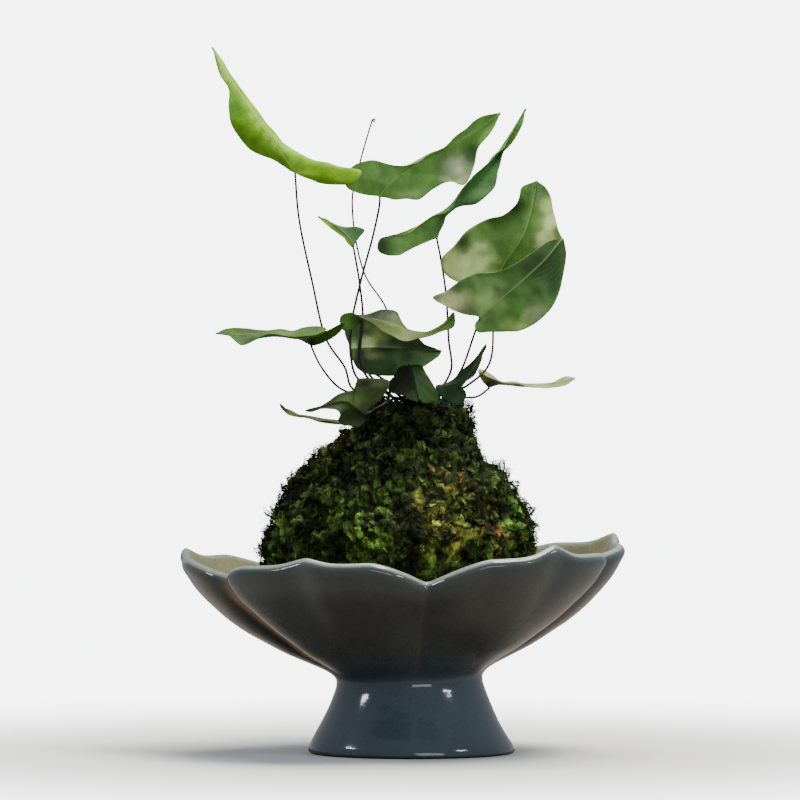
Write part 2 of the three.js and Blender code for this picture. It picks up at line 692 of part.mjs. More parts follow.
function buildBlade(frond) {
  const rows = bladeRows(frond);
  const normals = bladeNormals(rows);
  const face = (offset) =>
    rows.map((row, i) => row.map((point, j) => point.clone().addScaledVector(normals[i][j], offset)));
  return solidFrom(sheetSolid(face(BLADE.thickness / 2), face(-BLADE.thickness / 2)));
}

// Stems

// The path from a place on the rhizome through the points on the way. depth lowers its foot.
function risingPath(place, points, depth = 0) {
  const [x, y] = rhizomePlace(place);
  const floor = RHIZOME.topHeight - RHIZOME.rootDepth;
  return smoothCurve([[x, y, floor - depth], [x, y, RHIZOME.topHeight + 0.4], ...points]);
}

// A frond's path ends at a distance, stop, from the joint with its blade.
function frondPath(frond, stop, depth) {
  const joint = vector(frond.midrib[0]);
  const last = [2.6, stop].map((reach) => vector(frond.arrive).setLength(reach).add(joint).toArray());
  return risingPath(frond.place, [...frond.via, ...last], depth);
}

function stalk(path, radius) {
  return solidFrom(rod(path, radius, STEM.stepsPerPoint * (path.points.length - 1)));
}

// A stem is shortened until it clears its blade.
function buildStem(frond, blade) {
  let stop = 0.5;
  let stem = stalk(frondPath(frond, stop), STEM.radius);
  while (stem.minGap(blade, 1) < CLEARANCE) {
    stop += 0.1;
    stem = stalk(frondPath(frond, stop), STEM.radius);
  }
  return stem;
}

// The rolled tip: a spiral that tightens, fused to the top of its stem.
function buildCrozier() {
  const path = risingPath(CROZIER.place, CROZIER.via);
  const end = vector(CROZIER.via.at(-1));
  const turn = 2 * Math.PI * CROZIER.turns;
  const roll = [];
  for (let i = 0; i <= 12; i++) {
    const share = i / 12;
    const reach = CROZIER.radius * (1 - 0.62 * share);
    const x = CROZIER.radius - reach * Math.cos(turn * share);
    roll.push([end.x + x, end.y + 1.6 * share, end.z + reach * Math.sin(turn * share)]);
  }
  const spiral = rod(smoothCurve(roll), STEM.radius * 0.9, 20);
  return stalk(path, STEM.radius * 0.9).add(solidFrom(spiral));
}

// Assembly

const kokedama = new THREE.Group();

function place(name, solid, material) {
  const mesh = new THREE.Mesh(geometryFrom(solid), material);
  mesh.name = name;
  kokedama.add(mesh);
}

place("footed_bowl", buildBowl(), GLAZE);
place("moss_jacket", buildMoss(), LIVE_MOSS);
place("soil_ball", buildSoil(), WET_SOIL);

const sockets = FRONDS.map((frond) => frondPath(frond, 1, CLEARANCE));
sockets.push(risingPath(CROZIER.place, CROZIER.via, CLEARANCE));
place("rhizome", buildRhizome(sockets.map((path) => stalk(path, STEM.radius + 1.3 * CLEARANCE))), ROOTSTOCK);
for (const frond of FRONDS) {
  const young = frond.name === "top_left" || frond.name === "small_middle";
  const blade = buildBlade(frond);
  place(`blade_${frond.name}`, blade, young ? YOUNG_LEAF : LEAF_GREEN);
  place(`stem_${frond.name}`, buildStem(frond, blade), WIRY_STEM);
}
place("young_frond", buildCrozier(), WIRY_STEM);

kokedama.position.set(FOOT_AXIS.x, FOOT_AXIS.y, 0);

export default kokedama;
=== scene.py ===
# %% [markdown]
# # A heart fern kokedama in a petal-rimmed bowl
# A kokedama is a ball of soil wrapped in living moss, with a plant that grows out of its top. This one
# holds a heart fern: each frond is a single leathery, heart-shaped blade on a dark, wiry stem. The ball
# stands in a small celadon bowl on a flared foot. The lesson dresses the CAD model of these pieces: each
# keeps its size and place, and Blender adds what CAD leaves out, which is fine form, fibres and finish.

import math
from collections import namedtuple

import bpy
import numpy as np
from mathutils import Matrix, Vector, noise


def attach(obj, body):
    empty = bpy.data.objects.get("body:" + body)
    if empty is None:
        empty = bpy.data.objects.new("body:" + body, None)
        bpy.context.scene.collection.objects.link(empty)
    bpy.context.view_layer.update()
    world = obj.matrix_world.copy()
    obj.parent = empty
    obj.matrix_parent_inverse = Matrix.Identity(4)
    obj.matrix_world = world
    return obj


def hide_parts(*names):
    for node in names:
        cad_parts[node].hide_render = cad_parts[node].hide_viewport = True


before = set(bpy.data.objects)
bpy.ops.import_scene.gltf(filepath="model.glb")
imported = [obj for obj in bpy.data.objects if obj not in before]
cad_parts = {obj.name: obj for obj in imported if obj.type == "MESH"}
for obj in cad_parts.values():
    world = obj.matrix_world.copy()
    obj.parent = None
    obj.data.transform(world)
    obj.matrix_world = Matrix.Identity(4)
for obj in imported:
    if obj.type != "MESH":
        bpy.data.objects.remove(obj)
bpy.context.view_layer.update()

# %% [markdown]
# ## The frame that everything shares
# The plant was measured from the axis of the bowl's foot, in millimetres. Blender counts in metres, so one
# function takes points from the first to the second. With the shift in one place, no piece gets it twice.

# %% From plant millimetres to Blender metres
MM = 0.001
FOOT_AXIS = np.array([3.5, -1.3, 0.0])


def metres(points):
    """Points given in millimetres from the foot's axis, as metres in the shared frame."""
    return (np.asarray(points, float) + FOOT_AXIS) * MM


foot = metres((0, 0, 0))
print("foot axis at", foot)

# %% [markdown]
# ## Camera
# The plant was seen dead level, from a good distance. A long lens far away keeps that flat perspective. The
# field of view fixes the scale: at two metres a 250 mm lens on a 36 mm sensor sees 288 mm from side to side.

# %% Camera
VIEW_DISTANCE = 2.0
VIEW_MIDDLE = metres((-4.2, 0, 126.7))
LENS, SENSOR_WIDTH = 250, 36

camera = bpy.data.objects.new("camera", bpy.data.cameras.new("camera"))
camera.data.sensor_width = SENSOR_WIDTH
camera.data.lens = LENS
camera.location = (VIEW_MIDDLE[0], foot[1] - VIEW_DISTANCE, VIEW_MIDDLE[2])
camera.rotation_euler = (math.radians(90), 0, 0)
bpy.context.scene.collection.objects.link(camera)
bpy.context.scene.camera = camera
print("camera at", [round(v, 4) for v in camera.location])

# %% [markdown]
# ## Light
# A studio dome lights the leaves from all round. Softboxes do the rest: a large one overhead gives the
# blades their shine and the moss its shadows, and small ones at the sides make the paired glints of a
# glossy glaze. A sun lamp would be simpler, but its hard little reflections look harsh on glaze.

# %% Softboxes
AIM_HEIGHT = 0.12
WARM, COOL = (1, 0.97, 0.9), (0.85, 0.9, 1)


def softbox(name, azimuth, elevation, distance, width, height, power, tint):
    """An oblong lamp that looks at the plant. Azimuth runs from the front towards the right."""
    lamp = bpy.data.lights.new(name, "AREA")
    lamp.shape = "RECTANGLE"
    lamp.size, lamp.size_y = width, height
    lamp.energy = power
    lamp.color = tint
    across, up = math.radians(azimuth), math.radians(elevation)
    reach = Vector((math.sin(across) * math.cos(up), -math.cos(across) * math.cos(up), math.sin(up)))
    made = bpy.data.objects.new(name, lamp)
    made.location = reach * distance + Vector((0, 0, AIM_HEIGHT))
    made.rotation_euler = reach.to_track_quat("Z", "Y").to_euler()
    bpy.context.scene.collection.objects.link(made)


softbox("overhead", 150, 76, 1.0, 0.7, 0.7, 16, WARM)
softbox("right_key", 58, 64, 1.2, 0.5, 0.4, 15, WARM)
softbox("front_fill", 20, 8, 2.2, 1.2, 0.5, 9, COOL)
softbox("left_glint", -78, 24, 1.4, 0.28, 0.10, 3.2, COOL)
softbox("left_glint_low", -88, 42, 1.4, 0.10, 0.08, 0.8, COOL)
softbox("right_glint", 62, 24, 1.4, 0.32, 0.11, 3.6, COOL)
print("softboxes:", len(bpy.data.lights))

# %% [markdown]
# ## Small tools for building shaders
# A material is a tree of nodes. Adding a node, setting its sockets and linking it takes four lines each
# time, so a helper does it in one: a value that is itself a socket is linked, and any other is typed in.

# %% Node helpers
def feed(tree, socket, value):
    """Links a socket to the value when the value is a socket too, and otherwise types it in."""
    if isinstance(value, bpy.types.NodeSocket):
        tree.links.new(value, socket)
    else:
        socket.default_value = value


def add(tree, kind, sockets=None, **settings):
    """Adds a node with its settings, and feeds the named sockets."""
    made = tree.nodes.new(kind)
    for name, value in settings.items():
        setattr(made, name, value)
    for name, value in (sockets or {}).items():
        feed(tree, made.inputs[name], value)
    return made


def arithmetic(tree, operation, *values):
    return add(tree, "ShaderNodeMath", dict(enumerate(values)), operation=operation).outputs[0]


def product(tree, value, *others):
    for other in others:
        value = arithmetic(tree, "MULTIPLY", value, other)
    return value


def blend_colours(tree, share, first, second, how="MIX"):
    sockets = {0: share, 6: first, 7: second}
    return add(tree, "ShaderNodeMix", sockets, data_type="RGBA", blend_type=how).outputs[2]


def layered(tree, colour, *layers):
    """Lays more colours over the first, each by its own share."""
    for share, over in layers:
        colour = blend_colours(tree, share, colour, over)
    return colour


def scaled(tree, colour, level):
    """A colour made darker or lighter by a number."""
    grey = add(tree, "ShaderNodeCombineXYZ", {0: level, 1: level, 2: level}).outputs[0]
    return blend_colours(tree, 1.0, colour, grey, "MULTIPLY")


def window(tree, value, low, high, start=0.0, end=1.0):
    """Maps a value from low..high to start..end with soft ends."""
    sockets = {"Value": value, "From Min": low, "From Max": high, "To Min": start, "To Max": end}
    return add(tree, "ShaderNodeMapRange", sockets, interpolation_type="SMOOTHSTEP").outputs["Result"]


def object_place(tree):
    return add(tree, "ShaderNodeTexCoord").outputs["Object"]


def cloud(tree, place, scale, detail, output="Fac"):
    """Soft noise. A larger scale makes it finer."""
    sockets = {"Vector": place, "Scale": scale, "Detail": detail}
    return add(tree, "ShaderNodeTexNoise", sockets).outputs[output]


def attribute(tree, name, output="Fac"):
    return add(tree, "ShaderNodeAttribute", attribute_name=name).outputs[output]


def srgb(red, green, blue):
    """A colour picked as 0 to 255 screen values, as the linear values that shaders use."""
    def linear(value):
        value /= 255
        return value / 12.92 if value <= 0.04045 else ((value + 0.055) / 1.055) ** 2.4
    return (linear(red), linear(green), linear(blue), 1)


print("mid grey is", [round(v, 3) for v in srgb(128, 128, 128)])

# %% [markdown]
# ## Effects that several finishes share
# Mottling and fine grain turn up on glaze, moss, leaves and soil alike. Each is a node group: built once,
# with named inputs, and placed in each material with its own numbers. A group only passes on a colour or a
# height. The shader itself stays in the material, where an exporter can find it.

# %% Shared node groups
FINE_SHARE = 0.4          # how much of the grain's height the fine noise has, next to the coarse one


def shader_group(name, inputs, output, kind):
    """An empty shader node group. Returns the group, what it is given and the node for its result."""
    group = bpy.data.node_groups.new(name, "ShaderNodeTree")
    for label, value in inputs.items():
        sort = "NodeSocketColor" if isinstance(value, tuple) else "NodeSocketFloat"
        group.interface.new_socket(label, in_out="INPUT", socket_type=sort).default_value = value
    group.interface.new_socket(output, in_out="OUTPUT", socket_type=kind)
    return group, group.nodes.new("NodeGroupInput").outputs, group.nodes.new("NodeGroupOutput")


def make_mottle():
    """Cloudy patches between two colours, on Object coordinates."""
    inputs = {"Scale": 60.0, "Contrast": 0.5, "First": (0, 0, 0, 1), "Second": (1, 1, 1, 1)}
    group, given, result = shader_group("mottle", inputs, "Color", "NodeSocketColor")
    patches = cloud(group, object_place(group), given["Scale"], 4.0)
    spread = product(group, given["Contrast"], 0.5)
    low, high = (arithmetic(group, how, 0.5, spread) for how in ("SUBTRACT", "ADD"))
    mask = window(group, patches, low, high)
    feed(group, result.inputs["Color"], blend_colours(group, mask, given["First"], given["Second"]))
    return group


def make_grain():
    """A fine height field, coarse and fine grains together, on Object coordinates."""
    inputs = {"Coarse": 300.0, "Fine": 1500.0}
    group, given, result = shader_group("grain", inputs, "Height", "NodeSocketFloat")
    place = object_place(group)
    coarse = cloud(group, place, given["Coarse"], 3.0)
    fine = product(group, cloud(group, place, given["Fine"], 2.0), FINE_SHARE)
    feed(group, result.inputs["Height"], arithmetic(group, "ADD", coarse, fine))
    return group


MOTTLE = make_mottle()
GRAIN = make_grain()
print("groups:", [group.name for group in bpy.data.node_groups])

# %% Start and end of a material
def material(name, **constants):
    """A material with one Principled shader. Constants go straight onto the shader's own sockets."""
    made = bpy.data.materials.new(name)
    made.use_nodes = True
    shader = made.node_tree.nodes["Principled BSDF"]
    for socket, value in constants.items():
        shader.inputs[socket.replace("_", " ")].default_value = value
    return made, made.node_tree


def mottled(tree, scale, contrast, first, second):
    sockets = {"Scale": scale, "Contrast": contrast, "First": srgb(*first), "Second": srgb(*second)}
    return add(tree, "ShaderNodeGroup", sockets, node_tree=MOTTLE).outputs[0]


def grained(tree, coarse, fine):
    return add(tree, "ShaderNodeGroup", {"Coarse": coarse, "Fine": fine}, node_tree=GRAIN).outputs[0]


def dressed(finish, colour, height=None, distance=0.0, strength=1.0):
    """The material with its colour, and with a height that a bump turns into relief."""
    tree = finish.node_tree
    shader = tree.nodes["Principled BSDF"]
    feed(tree, shader.inputs["Base Color"], colour)
    if height is not None:
        bump = add(tree, "ShaderNodeBump", {"Height": height, "Distance": distance, "Strength": strength})
        feed(tree, shader.inputs["Normal"], bump.outputs["Normal"])
    return finish


print("materials so far:", len(bpy.data.materials))

# %% [markdown]
# ## Dome and floor
# The dome looks brighter to the camera than the light that it casts, so the backdrop is nearly white and the
# leaves keep their shadows. The floor is a plain pale disc that fades out, so no horizon cuts the picture in
# two. Its middle catches the soft contact shadow of the foot. To everything but the camera it is darker, the
# way a table is, because a white floor would light the bowl's underside from below.

# %% Dome and floor
BACKDROP, BACKDROP_STRENGTH = (0.93, 0.94, 0.95, 1), 6.5
DOME_TINT, DOME_STRENGTH = (0.9, 0.95, 1, 1), 0.42
FLOOR_SEEN, FLOOR_CAST = (0.78, 0.78, 0.78, 1), (0.2, 0.17, 0.14, 1)
FLOOR_RADIUS, FLOOR_DROP = 1.2, 0.0003
FADE_STARTS, FADE_ENDS = 0.09, 0.4


def build_dome():
    world = bpy.data.worlds.new("studio")
    bpy.context.scene.world = world
    world.use_nodes = True
    tree = world.node_tree
    tree.nodes.clear()
    eye = add(tree, "ShaderNodeLightPath").outputs["Is Camera Ray"]
    cast = add(tree, "ShaderNodeBackground", {"Color": DOME_TINT, "Strength": DOME_STRENGTH}).outputs[0]
    seen = add(tree, "ShaderNodeBackground", {"Color": BACKDROP, "Strength": BACKDROP_STRENGTH}).outputs[0]
    both = add(tree, "ShaderNodeMixShader", {0: eye, 1: cast, 2: seen}).outputs[0]
    add(tree, "ShaderNodeOutputWorld", {"Surface": both})


def build_floor():
    bpy.ops.mesh.primitive_circle_add(
        vertices=96, radius=FLOOR_RADIUS, fill_type="NGON", location=(0, 0, -FLOOR_DROP)
    )
    made = bpy.context.object
    made.name = "floor"
    finish, tree = material("pale_floor", Roughness=0.9)
    place = object_place(tree)
    reach = add(tree, "ShaderNodeVectorMath", {"Vector": place}, operation="LENGTH").outputs["Value"]
    eye = add(tree, "ShaderNodeLightPath").outputs["Is Camera Ray"]
    dressed(finish, blend_colours(tree, eye, FLOOR_CAST, FLOOR_SEEN))
    gone = add(tree, "ShaderNodeBsdfTransparent").outputs[0]
    shown = tree.nodes["Principled BSDF"].outputs[0]
    faded = window(tree, reach, FADE_STARTS, FADE_ENDS)
    mixed = add(tree, "ShaderNodeMixShader", {0: faded, 1: shown, 2: gone}).outputs[0]
    feed(tree, tree.nodes["Material Output"].inputs["Surface"], mixed)
    made.data.materials.append(finish)


build_dome()
build_floor()
print("dome hung and floor laid")

# %% [markdown]
# ## Small tools for building meshes
# The bowl, the leaves and the stems are all computed point by point, because their forms follow rules: a
# profile turned about an axis, a sheet stretched between a midrib and two margins, a rod along a path. Each
# needs the same things: a smooth curve through a few points, a mesh from arrays, and a way to hand it over.

# %% Mesh helpers
def through(points, places):
    """Points at the given places, 0 to 1, on a smooth centripetal curve through all the points."""
    knots = np.array(points, float)
    knots = np.vstack([2 * knots[0] - knots[1], knots, 2 * knots[-1] - knots[-2]])
    spans = len(knots) - 3
    found = []
    for place in places:
        span = min(int(place * spans), spans - 1)
        a, b, c, d = knots[span:span + 4]
        first, second, third = (max(np.linalg.norm(v - u), 1e-6) ** 0.5 for u, v in ((a, b), (b, c), (c, d)))
        leave = ((b - a) / first - (c - a) / (first + second) + (c - b) / second) * second
        arrive = ((c - b) / second - (d - b) / (second + third) + (d - c) / third) * second
        t = place * spans - span
        found.append(
            (2 * t**3 - 3 * t**2 + 1) * b + (t**3 - 2 * t**2 + t) * leave
            + (3 * t**2 - 2 * t**3) * c + (t**3 - t**2) * arrive
        )
    return np.array(found)


def mesh_object(name, points, faces, finish, **layers):
    """A smooth-shaded object from points in metres. Each layer is one number or colour for every point."""
    mesh = bpy.data.meshes.new(name)
    mesh.from_pydata(np.asarray(points).tolist(), [], [tuple(face) for face in faces])
    for layer, values in layers.items():
        values = np.asarray(values, np.float32)
        kind, field = ("FLOAT", "value") if values.ndim == 1 else ("FLOAT_COLOR", "color")
        mesh.attributes.new(layer, kind, "POINT").data.foreach_set(field, values.ravel())
    mesh.shade_smooth()
    mesh.materials.append(finish)
    made = bpy.data.objects.new(name, mesh)
    bpy.context.scene.collection.objects.link(made)
    return made


def settle(piece, slot, *nodes):
    """Hands a finished piece over: it rides on the plant and may stand for CAD nodes. The slot, the name of
    its finish, is not used.
    """
    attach(piece, "root")
    if nodes:
        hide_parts(*nodes)
    piece.data.calc_loop_triangles()
    print(piece.name, len(piece.data.loop_triangles), "triangles")


def grid_faces(rows, columns, closed=False):
    """The quads between rows of points, each row given from first to last column."""
    faces = []
    for low in range(0, (rows - 1) * columns, columns):
        high = low + columns
        for j in range(columns if closed else columns - 1):
            after = (j + 1) % columns
            faces.append((low + j, low + after, high + after, high + j))
    return faces


def capped_faces(rows, columns, first, last):
    """The quads of a closed skin whose two end rings are drawn together into one point each."""
    faces = grid_faces(rows, columns, closed=True)
    top = (rows - 1) * columns
    for j in range(columns):
        after = (j + 1) % columns
        faces.append((first, after, j))
        faces.append((last, top + j, top + after))
    return faces


def soft_step(values, low, high):
    share = np.clip((np.asarray(values, float) - low) / (high - low), 0, 1)
    return share * share * (3 - 2 * share)


def hump(values, middle, reach):
    """1 at the middle, falling softly to 0 on both sides of it."""
    return np.exp(-(((values - middle) / reach) ** 2))


print("a soft step and a hump:", soft_step([0, 0.25, 0.5, 1], 0, 1), hump(np.arange(3), 0, 1))

# %% [markdown]
# ## The bowl
# The real bowl was thrown round and its soft rim was then pressed in at five places, which leaves five
# petals with raised points. It is made that way here: a smooth profile is turned about the foot's axis, and
# one rule presses the upper part in at the notches, lifts the petal tips and leans the rim a little.
# Sculpting would lose the clean turned foot, and subdividing a coarse lathe would round off the notches.

# %% The bowl's outline
BOWL_PROFILE = [
    (0, 29), (9, 28.8), (18.8, 28), (21.3, 22.5), (24.4, 15.7), (27.4, 9), (31, 0.8), (32.7, 0), (36.5, 0),
    (37.2, 0.8), (32, 11), (28, 20), (26.3, 26.5), (28.3, 29.2), (36.9, 33.5), (44.6, 37), (51.9, 41),
    (58.8, 45), (65.1, 49.6), (71, 55.4), (76.6, 62), (80.4, 68.2), (82.4, 72.2), (81.7, 74.3), (80.4, 75.2),
    (79.2, 74.3), (76.2, 68.6), (70.8, 61), (63.6, 54), (53.9, 47.2), (42.8, 41.4), (30.2, 36.6), (24, 34.8),
    (12, 34.5), (0, 34.5),
]
RIM_POINT = 24            # the profile's point on top of the rim
STEPS_BETWEEN = 3         # steps from one point of the outline to the next
TURN_STEPS = 480          # points round the bowl
WAIST_RADIUS, WAIST_HEIGHT, RIM_HEIGHT = 26.3, 26.5, 75.2
LEAN = math.radians(2.1)  # the rim dips to the left
OFFSET = 0.8              # how far left of its foot the upper bowl stands

NOTCHES = [-65, 5, 72, 157, 222]                # angles from the front, in degrees
NOTCH_DROPS = [8.5, 12, 6.4, 9, 9]
NOTCH_INSET, NOTCH_ROUNDING = 0.145, 0.035
PETAL_MIDDLES = [-26.5, 38.5, 109, 190, 258]
LOWERED = [1.9, 0.6, -0.6, 0, -1]               # how far each peak lies below the plain rim
PEAK_RISES = [2.5, 4.2, 3.6, 1.6, 3.6]          # and above the petal's own shoulders
DRAWN_IN = [0, 0, 0.06, 0, 0]                   # the share of the radius by which a petal is pulled in
FLARES = [0.006, 0.006, 0.04, 0.006, 0.034]     # and by which its peak leans out
PEAK_REACH, FLARE_REACH = 0.17, 0.16            # shares of the way to the notch
PRESS_START = 0.55                              # where on that way the rim starts to dip into the notch


def on_petal(angle):
    """Where an angle lies on its petal: 0 at the middle, 1 at a notch, with that petal's own numbers."""
    angle = angle + 360 if angle < NOTCHES[0] else angle
    i = max(k for k in range(5) if angle >= NOTCHES[k])
    after = (i + 1) % 5
    end = NOTCHES[after] + (360 if after == 0 else 0)
    middle = PETAL_MIDDLES[i]
    if angle < middle:
        share, drop = (middle - angle) / (middle - NOTCHES[i]), NOTCH_DROPS[i]
    else:
        share, drop = (angle - middle) / (end - middle), NOTCH_DROPS[after]
    left = math.hypot(1 - share, NOTCH_ROUNDING) - NOTCH_ROUNDING
    return 1 - left, drop, PEAK_RISES[i] + LOWERED[i], PEAK_RISES[i], DRAWN_IN[i], FLARES[i]


print("the front notch lies at", on_petal(5)[0], "of its petal")

# %% Turn the profile and press the petals
def press_petals(points, angle):
    """Shapes one column of the turned bowl, whose points all lie at the angle from the front."""
    share, drop, shoulder, peak_rise, inward, flare = on_petal(angle)
    x, y, z = points.T
    rise = np.clip((z - WAIST_HEIGHT) / (RIM_HEIGHT - WAIST_HEIGHT), 0, 1)
    away = soft_step(np.hypot(x, y), WAIST_RADIUS * 0.5, WAIST_RADIUS * 1.5)
    # A petal curves in gently all the way to its notch, and sharply just before it.
    inset = NOTCH_INSET * (0.3 * share**2 + 0.7 * share**5) + inward * rise * (1 - share**2)
    outward = flare * hump(share, 0, FLARE_REACH)
    pull = 1 - away * np.minimum(1, rise * 3) * (inset - outward * rise)
    dip = (drop - shoulder) * max(0, (share - PRESS_START) / (1 - PRESS_START)) ** 1.4
    height = z + soft_step(rise, 0.4, 1) * (peak_rise * hump(share, 0, PEAK_REACH) - shoulder - dip)
    sideways = x * pull
    tilted = height + sideways * math.tan(LEAN) * soft_step(height, 4, 20)
    return np.column_stack([sideways - OFFSET * soft_step(height, 0, 10), y * pull, tilted])


def turned_bowl():
    """The bowl's points and faces, and for each point its distance from the rim and its side of the wall."""
    places = np.linspace(0, 1, (len(BOWL_PROFILE) - 1) * STEPS_BETWEEN + 1)
    outline = np.maximum(through(BOWL_PROFILE, places), 0)
    walked = np.concatenate([[0], np.cumsum(np.hypot(*np.diff(outline, axis=0).T))])
    top = RIM_POINT * STEPS_BETWEEN
    from_rim = np.abs(walked - walked[top])
    columns = []
    for angle in np.arange(TURN_STEPS) * 360 / TURN_STEPS - 180:
        around = math.radians(angle)
        radius, height = outline.T
        plain = np.column_stack([radius * math.sin(around), -radius * math.cos(around), height])
        columns.append(press_petals(plain, angle))
    rows = np.array(columns).transpose(1, 0, 2)
    rings = len(rows) - 2
    points = np.vstack([rows[1:-1].reshape(-1, 3), rows[0, 0], rows[-1, 0]])
    faces = capped_faces(rings, TURN_STEPS, len(points) - 2, len(points) - 1)
    from_rim = np.concatenate([np.repeat(from_rim[1:-1], TURN_STEPS), from_rim[[0, -1]]])
    inside = np.concatenate([np.repeat(np.arange(1, rings + 1) > top, TURN_STEPS), [0, 1]])
    return points, faces, from_rim, inside


points, faces, from_rim, inside = turned_bowl()
print("bowl:", len(points), "points")

# %% [markdown]
# ### The glaze
# Celadon pools: it is thin and pale where it runs off the rim, deep grey-green in the body and cooler where
# it gathers on the foot. Where two petals meet, a warm tan line along the crease is a painted reflection of
# the table. More of that painted warm reflection lies on the flank beside it, and a dark strip of painted
# shade lies in the fold. An attribute finds each of these, such as the distance from the rim along the wall,
# because height alone would miss the notches. Fine crackle lies under the gloss.

# %% Glaze
CRACKLE_BEND = 0.0016     # how far the lines of the crackle stray, in metres


def celadon_glaze():
    finish, tree = material("celadon_glaze", Roughness=0.1, IOR=1.5)
    place = object_place(tree)
    height = add(tree, "ShaderNodeSeparateXYZ", {"Vector": place}).outputs["Z"]
    from_rim = attribute(tree, "from_rim")
    wobble = cloud(tree, place, 220.0, 2.0, "Color")
    bent = add(tree, "ShaderNodeVectorMath", {0: wobble, 1: (CRACKLE_BEND,) * 3}, operation="MULTIPLY")
    moved = add(tree, "ShaderNodeVectorMath", {0: place, 1: bent.outputs[0]}, operation="ADD").outputs[0]
    cells = add(tree, "ShaderNodeTexVoronoi", {"Vector": moved, "Scale": 260.0}, feature="DISTANCE_TO_EDGE")
    specks = cloud(tree, place, 1400.0, 1.0)
    colour = layered(
        tree,
        mottled(tree, 38.0, 0.6, (58, 60, 56), (76, 79, 75)),
        (window(tree, height, 0.040, 0.027), mottled(tree, 30.0, 0.7, (54, 68, 76), (70, 86, 94))),  # foot
        (attribute(tree, "cool"), srgb(66, 80, 86)),
        (window(tree, from_rim, 22.0, 5.0, 0.0, 0.45), srgb(62, 74, 76)),  # under the rim
        (attribute(tree, "ridge"), srgb(112, 118, 114)),
        # painted shade in the fold, a painted warm reflection of the table on the flank, and a painted glint
        # of it along the crease
        (attribute(tree, "pooled"), srgb(32, 38, 38)),
        (attribute(tree, "clay"), srgb(138, 108, 78)),
        (attribute(tree, "crease"), srgb(204, 160, 118)),
        (attribute(tree, "inside"), mottled(tree, 45.0, 0.8, (112, 110, 76), (142, 139, 102))),
        (window(tree, from_rim, 2.6, 1.2), srgb(142, 150, 140)),  # the rim itself
        (window(tree, cells.outputs["Distance"], 0.035, 0.0, 0.0, 0.22), srgb(38, 34, 26)),  # crackle
        (window(tree, specks, 0.62, 0.74, 0.0, 0.35), srgb(40, 38, 30)),
    )
    return dressed(finish, colour, grained(tree, 55.0, 240.0), 0.00035, 0.5)


# %% Marks for the glaze
# At each notch: how plainly its painted glint, reflection and shade show, and how many degrees from the fold
# its glint line lies and reaches.
NOTCH_MARK_SHARES = [1.0, 0.06, 0.75, 0.7, 0.7]
GLINT_LINES = [(0.9, 1.5), (-0.6, 1.0), (15.0, 4.0), (0.9, 1.5), (0.9, 1.5)]
BELOW_ALL = (-2, -1)     # heights below the whole bowl, for a mark that begins lower than it

# Painted marks beside every fold, a warm reflection of the table and a strip of shade: degrees from it and
# reach, the heights where the mark begins and is full, the height where it ends and over how much it fades,
# and its share.
FOLD_MARKS = [
    ("clay", (14, 7), (48, 60), (72, 10), 0.4),
    ("clay", (-4, 4), (50, 58), (74, 12), 0.35),
    ("pooled", (5.4, 3.0), BELOW_ALL, (72, 20), 0.85),
]


def turned_by(angle, start):
    """The angle from a start, between -180 and 180 degrees."""
    return (angle - start + 180) % 360 - 180


def glaze_marks(points, inside):
    """Where the painted crease glints, the painted reflection and shade beside them and the petals' ridges
    lie.
    """
    angle = np.degrees(np.arctan2(points[:, 0] + OFFSET, -points[:, 1]))
    height = points[:, 2]
    outer = (1 - inside) * soft_step(height, 28, 34)
    marks = {name: np.zeros(len(points)) for name in ("crease", "clay", "pooled", "ridge")}
    # the painted glint along each crease, then the painted reflection and shade beside it
    for notch, mark_share, line in zip(NOTCHES, NOTCH_MARK_SHARES, GLINT_LINES):
        towards_back = 1 if (notch + 180) % 360 > 180 else -1
        away = turned_by(angle, notch) * towards_back
        for name, (middle, reach), begins, (end, fade), share in (
            ("crease", line, BELOW_ALL, (70, 24), 0.9), *FOLD_MARKS,
        ):
            band = soft_step(height, *begins) * soft_step(end - height, 0, fade)
            marks[name] += hump(away, middle, reach) * band * share * mark_share
    for middle in PETAL_MIDDLES:
        marks["ridge"] += hump(turned_by(angle, middle), 0, 2.6) * soft_step(height, 34, 60) * 0.3
    marks["cool"] = 0.75 * soft_step(np.abs(turned_by(angle, 0)), 24, 52)
    return {name: np.clip(mark * outer, 0, 1) for name, mark in marks.items()}


marks = glaze_marks(points, inside)
bowl = mesh_object(
    "glazed_bowl", metres(points), faces, celadon_glaze(), from_rim=from_rim, inside=inside, **marks
)
settle(bowl, "celadon_glaze", "footed_bowl")

# %% [markdown]
# ## The moss skin
# Under the living sprigs lies a felt of old, dark moss. It is a closed, lumpy sheet that follows the ball's
# outline, and it is what shows in the gaps between sprigs. Its lumps come from layered noise that moves each
# point along the line from the ball's middle.

# %% The skin's shape
SKIN_PROFILE = [
    (0, 35.6), (15, 35.6), (26, 38.2), (35.2, 45), (42, 53.4), (45.2, 61.8), (46, 71), (45, 78.6),
    (42.2, 86), (38.6, 93), (32.8, 99.6), (28.4, 105.2), (23, 110.4), (20.2, 115.6), (19, 120.4),
    (17.4, 123.6), (15.4, 124.8), (13.2, 124.2), (11.9, 121.5), (11.6, 117),
]
SKIN_ROWS, SKIN_COLUMNS = 150, 260
BALL_MIDDLE = np.array([0, 0, 70.0])
BALL_X, NECK_X = -4.3, 1.0
LUMPS = [(2.6, 15, (3.1, 1.7, 0)), (4.2, 7.5, (0, 0, 0)), (2.4, 3.4, (0, 0, 0)), (0.5, 1.1, (0, 0, 0))]
DEEPEST = -1.7


def ball_shift(height):
    """The ball stands a little to the left in the bowl, and its neck a little to the right."""
    return BALL_X + (NECK_X - BALL_X) * soft_step(height, 105, 117)


def lumps(point):
    """How far the skin stands out or in at a point, in millimetres: noises of several sizes together."""
    place = Vector(point)
    return max(sum(high * noise.noise(place / wide + Vector(shift)) for high, wide, shift in LUMPS), DEEPEST)


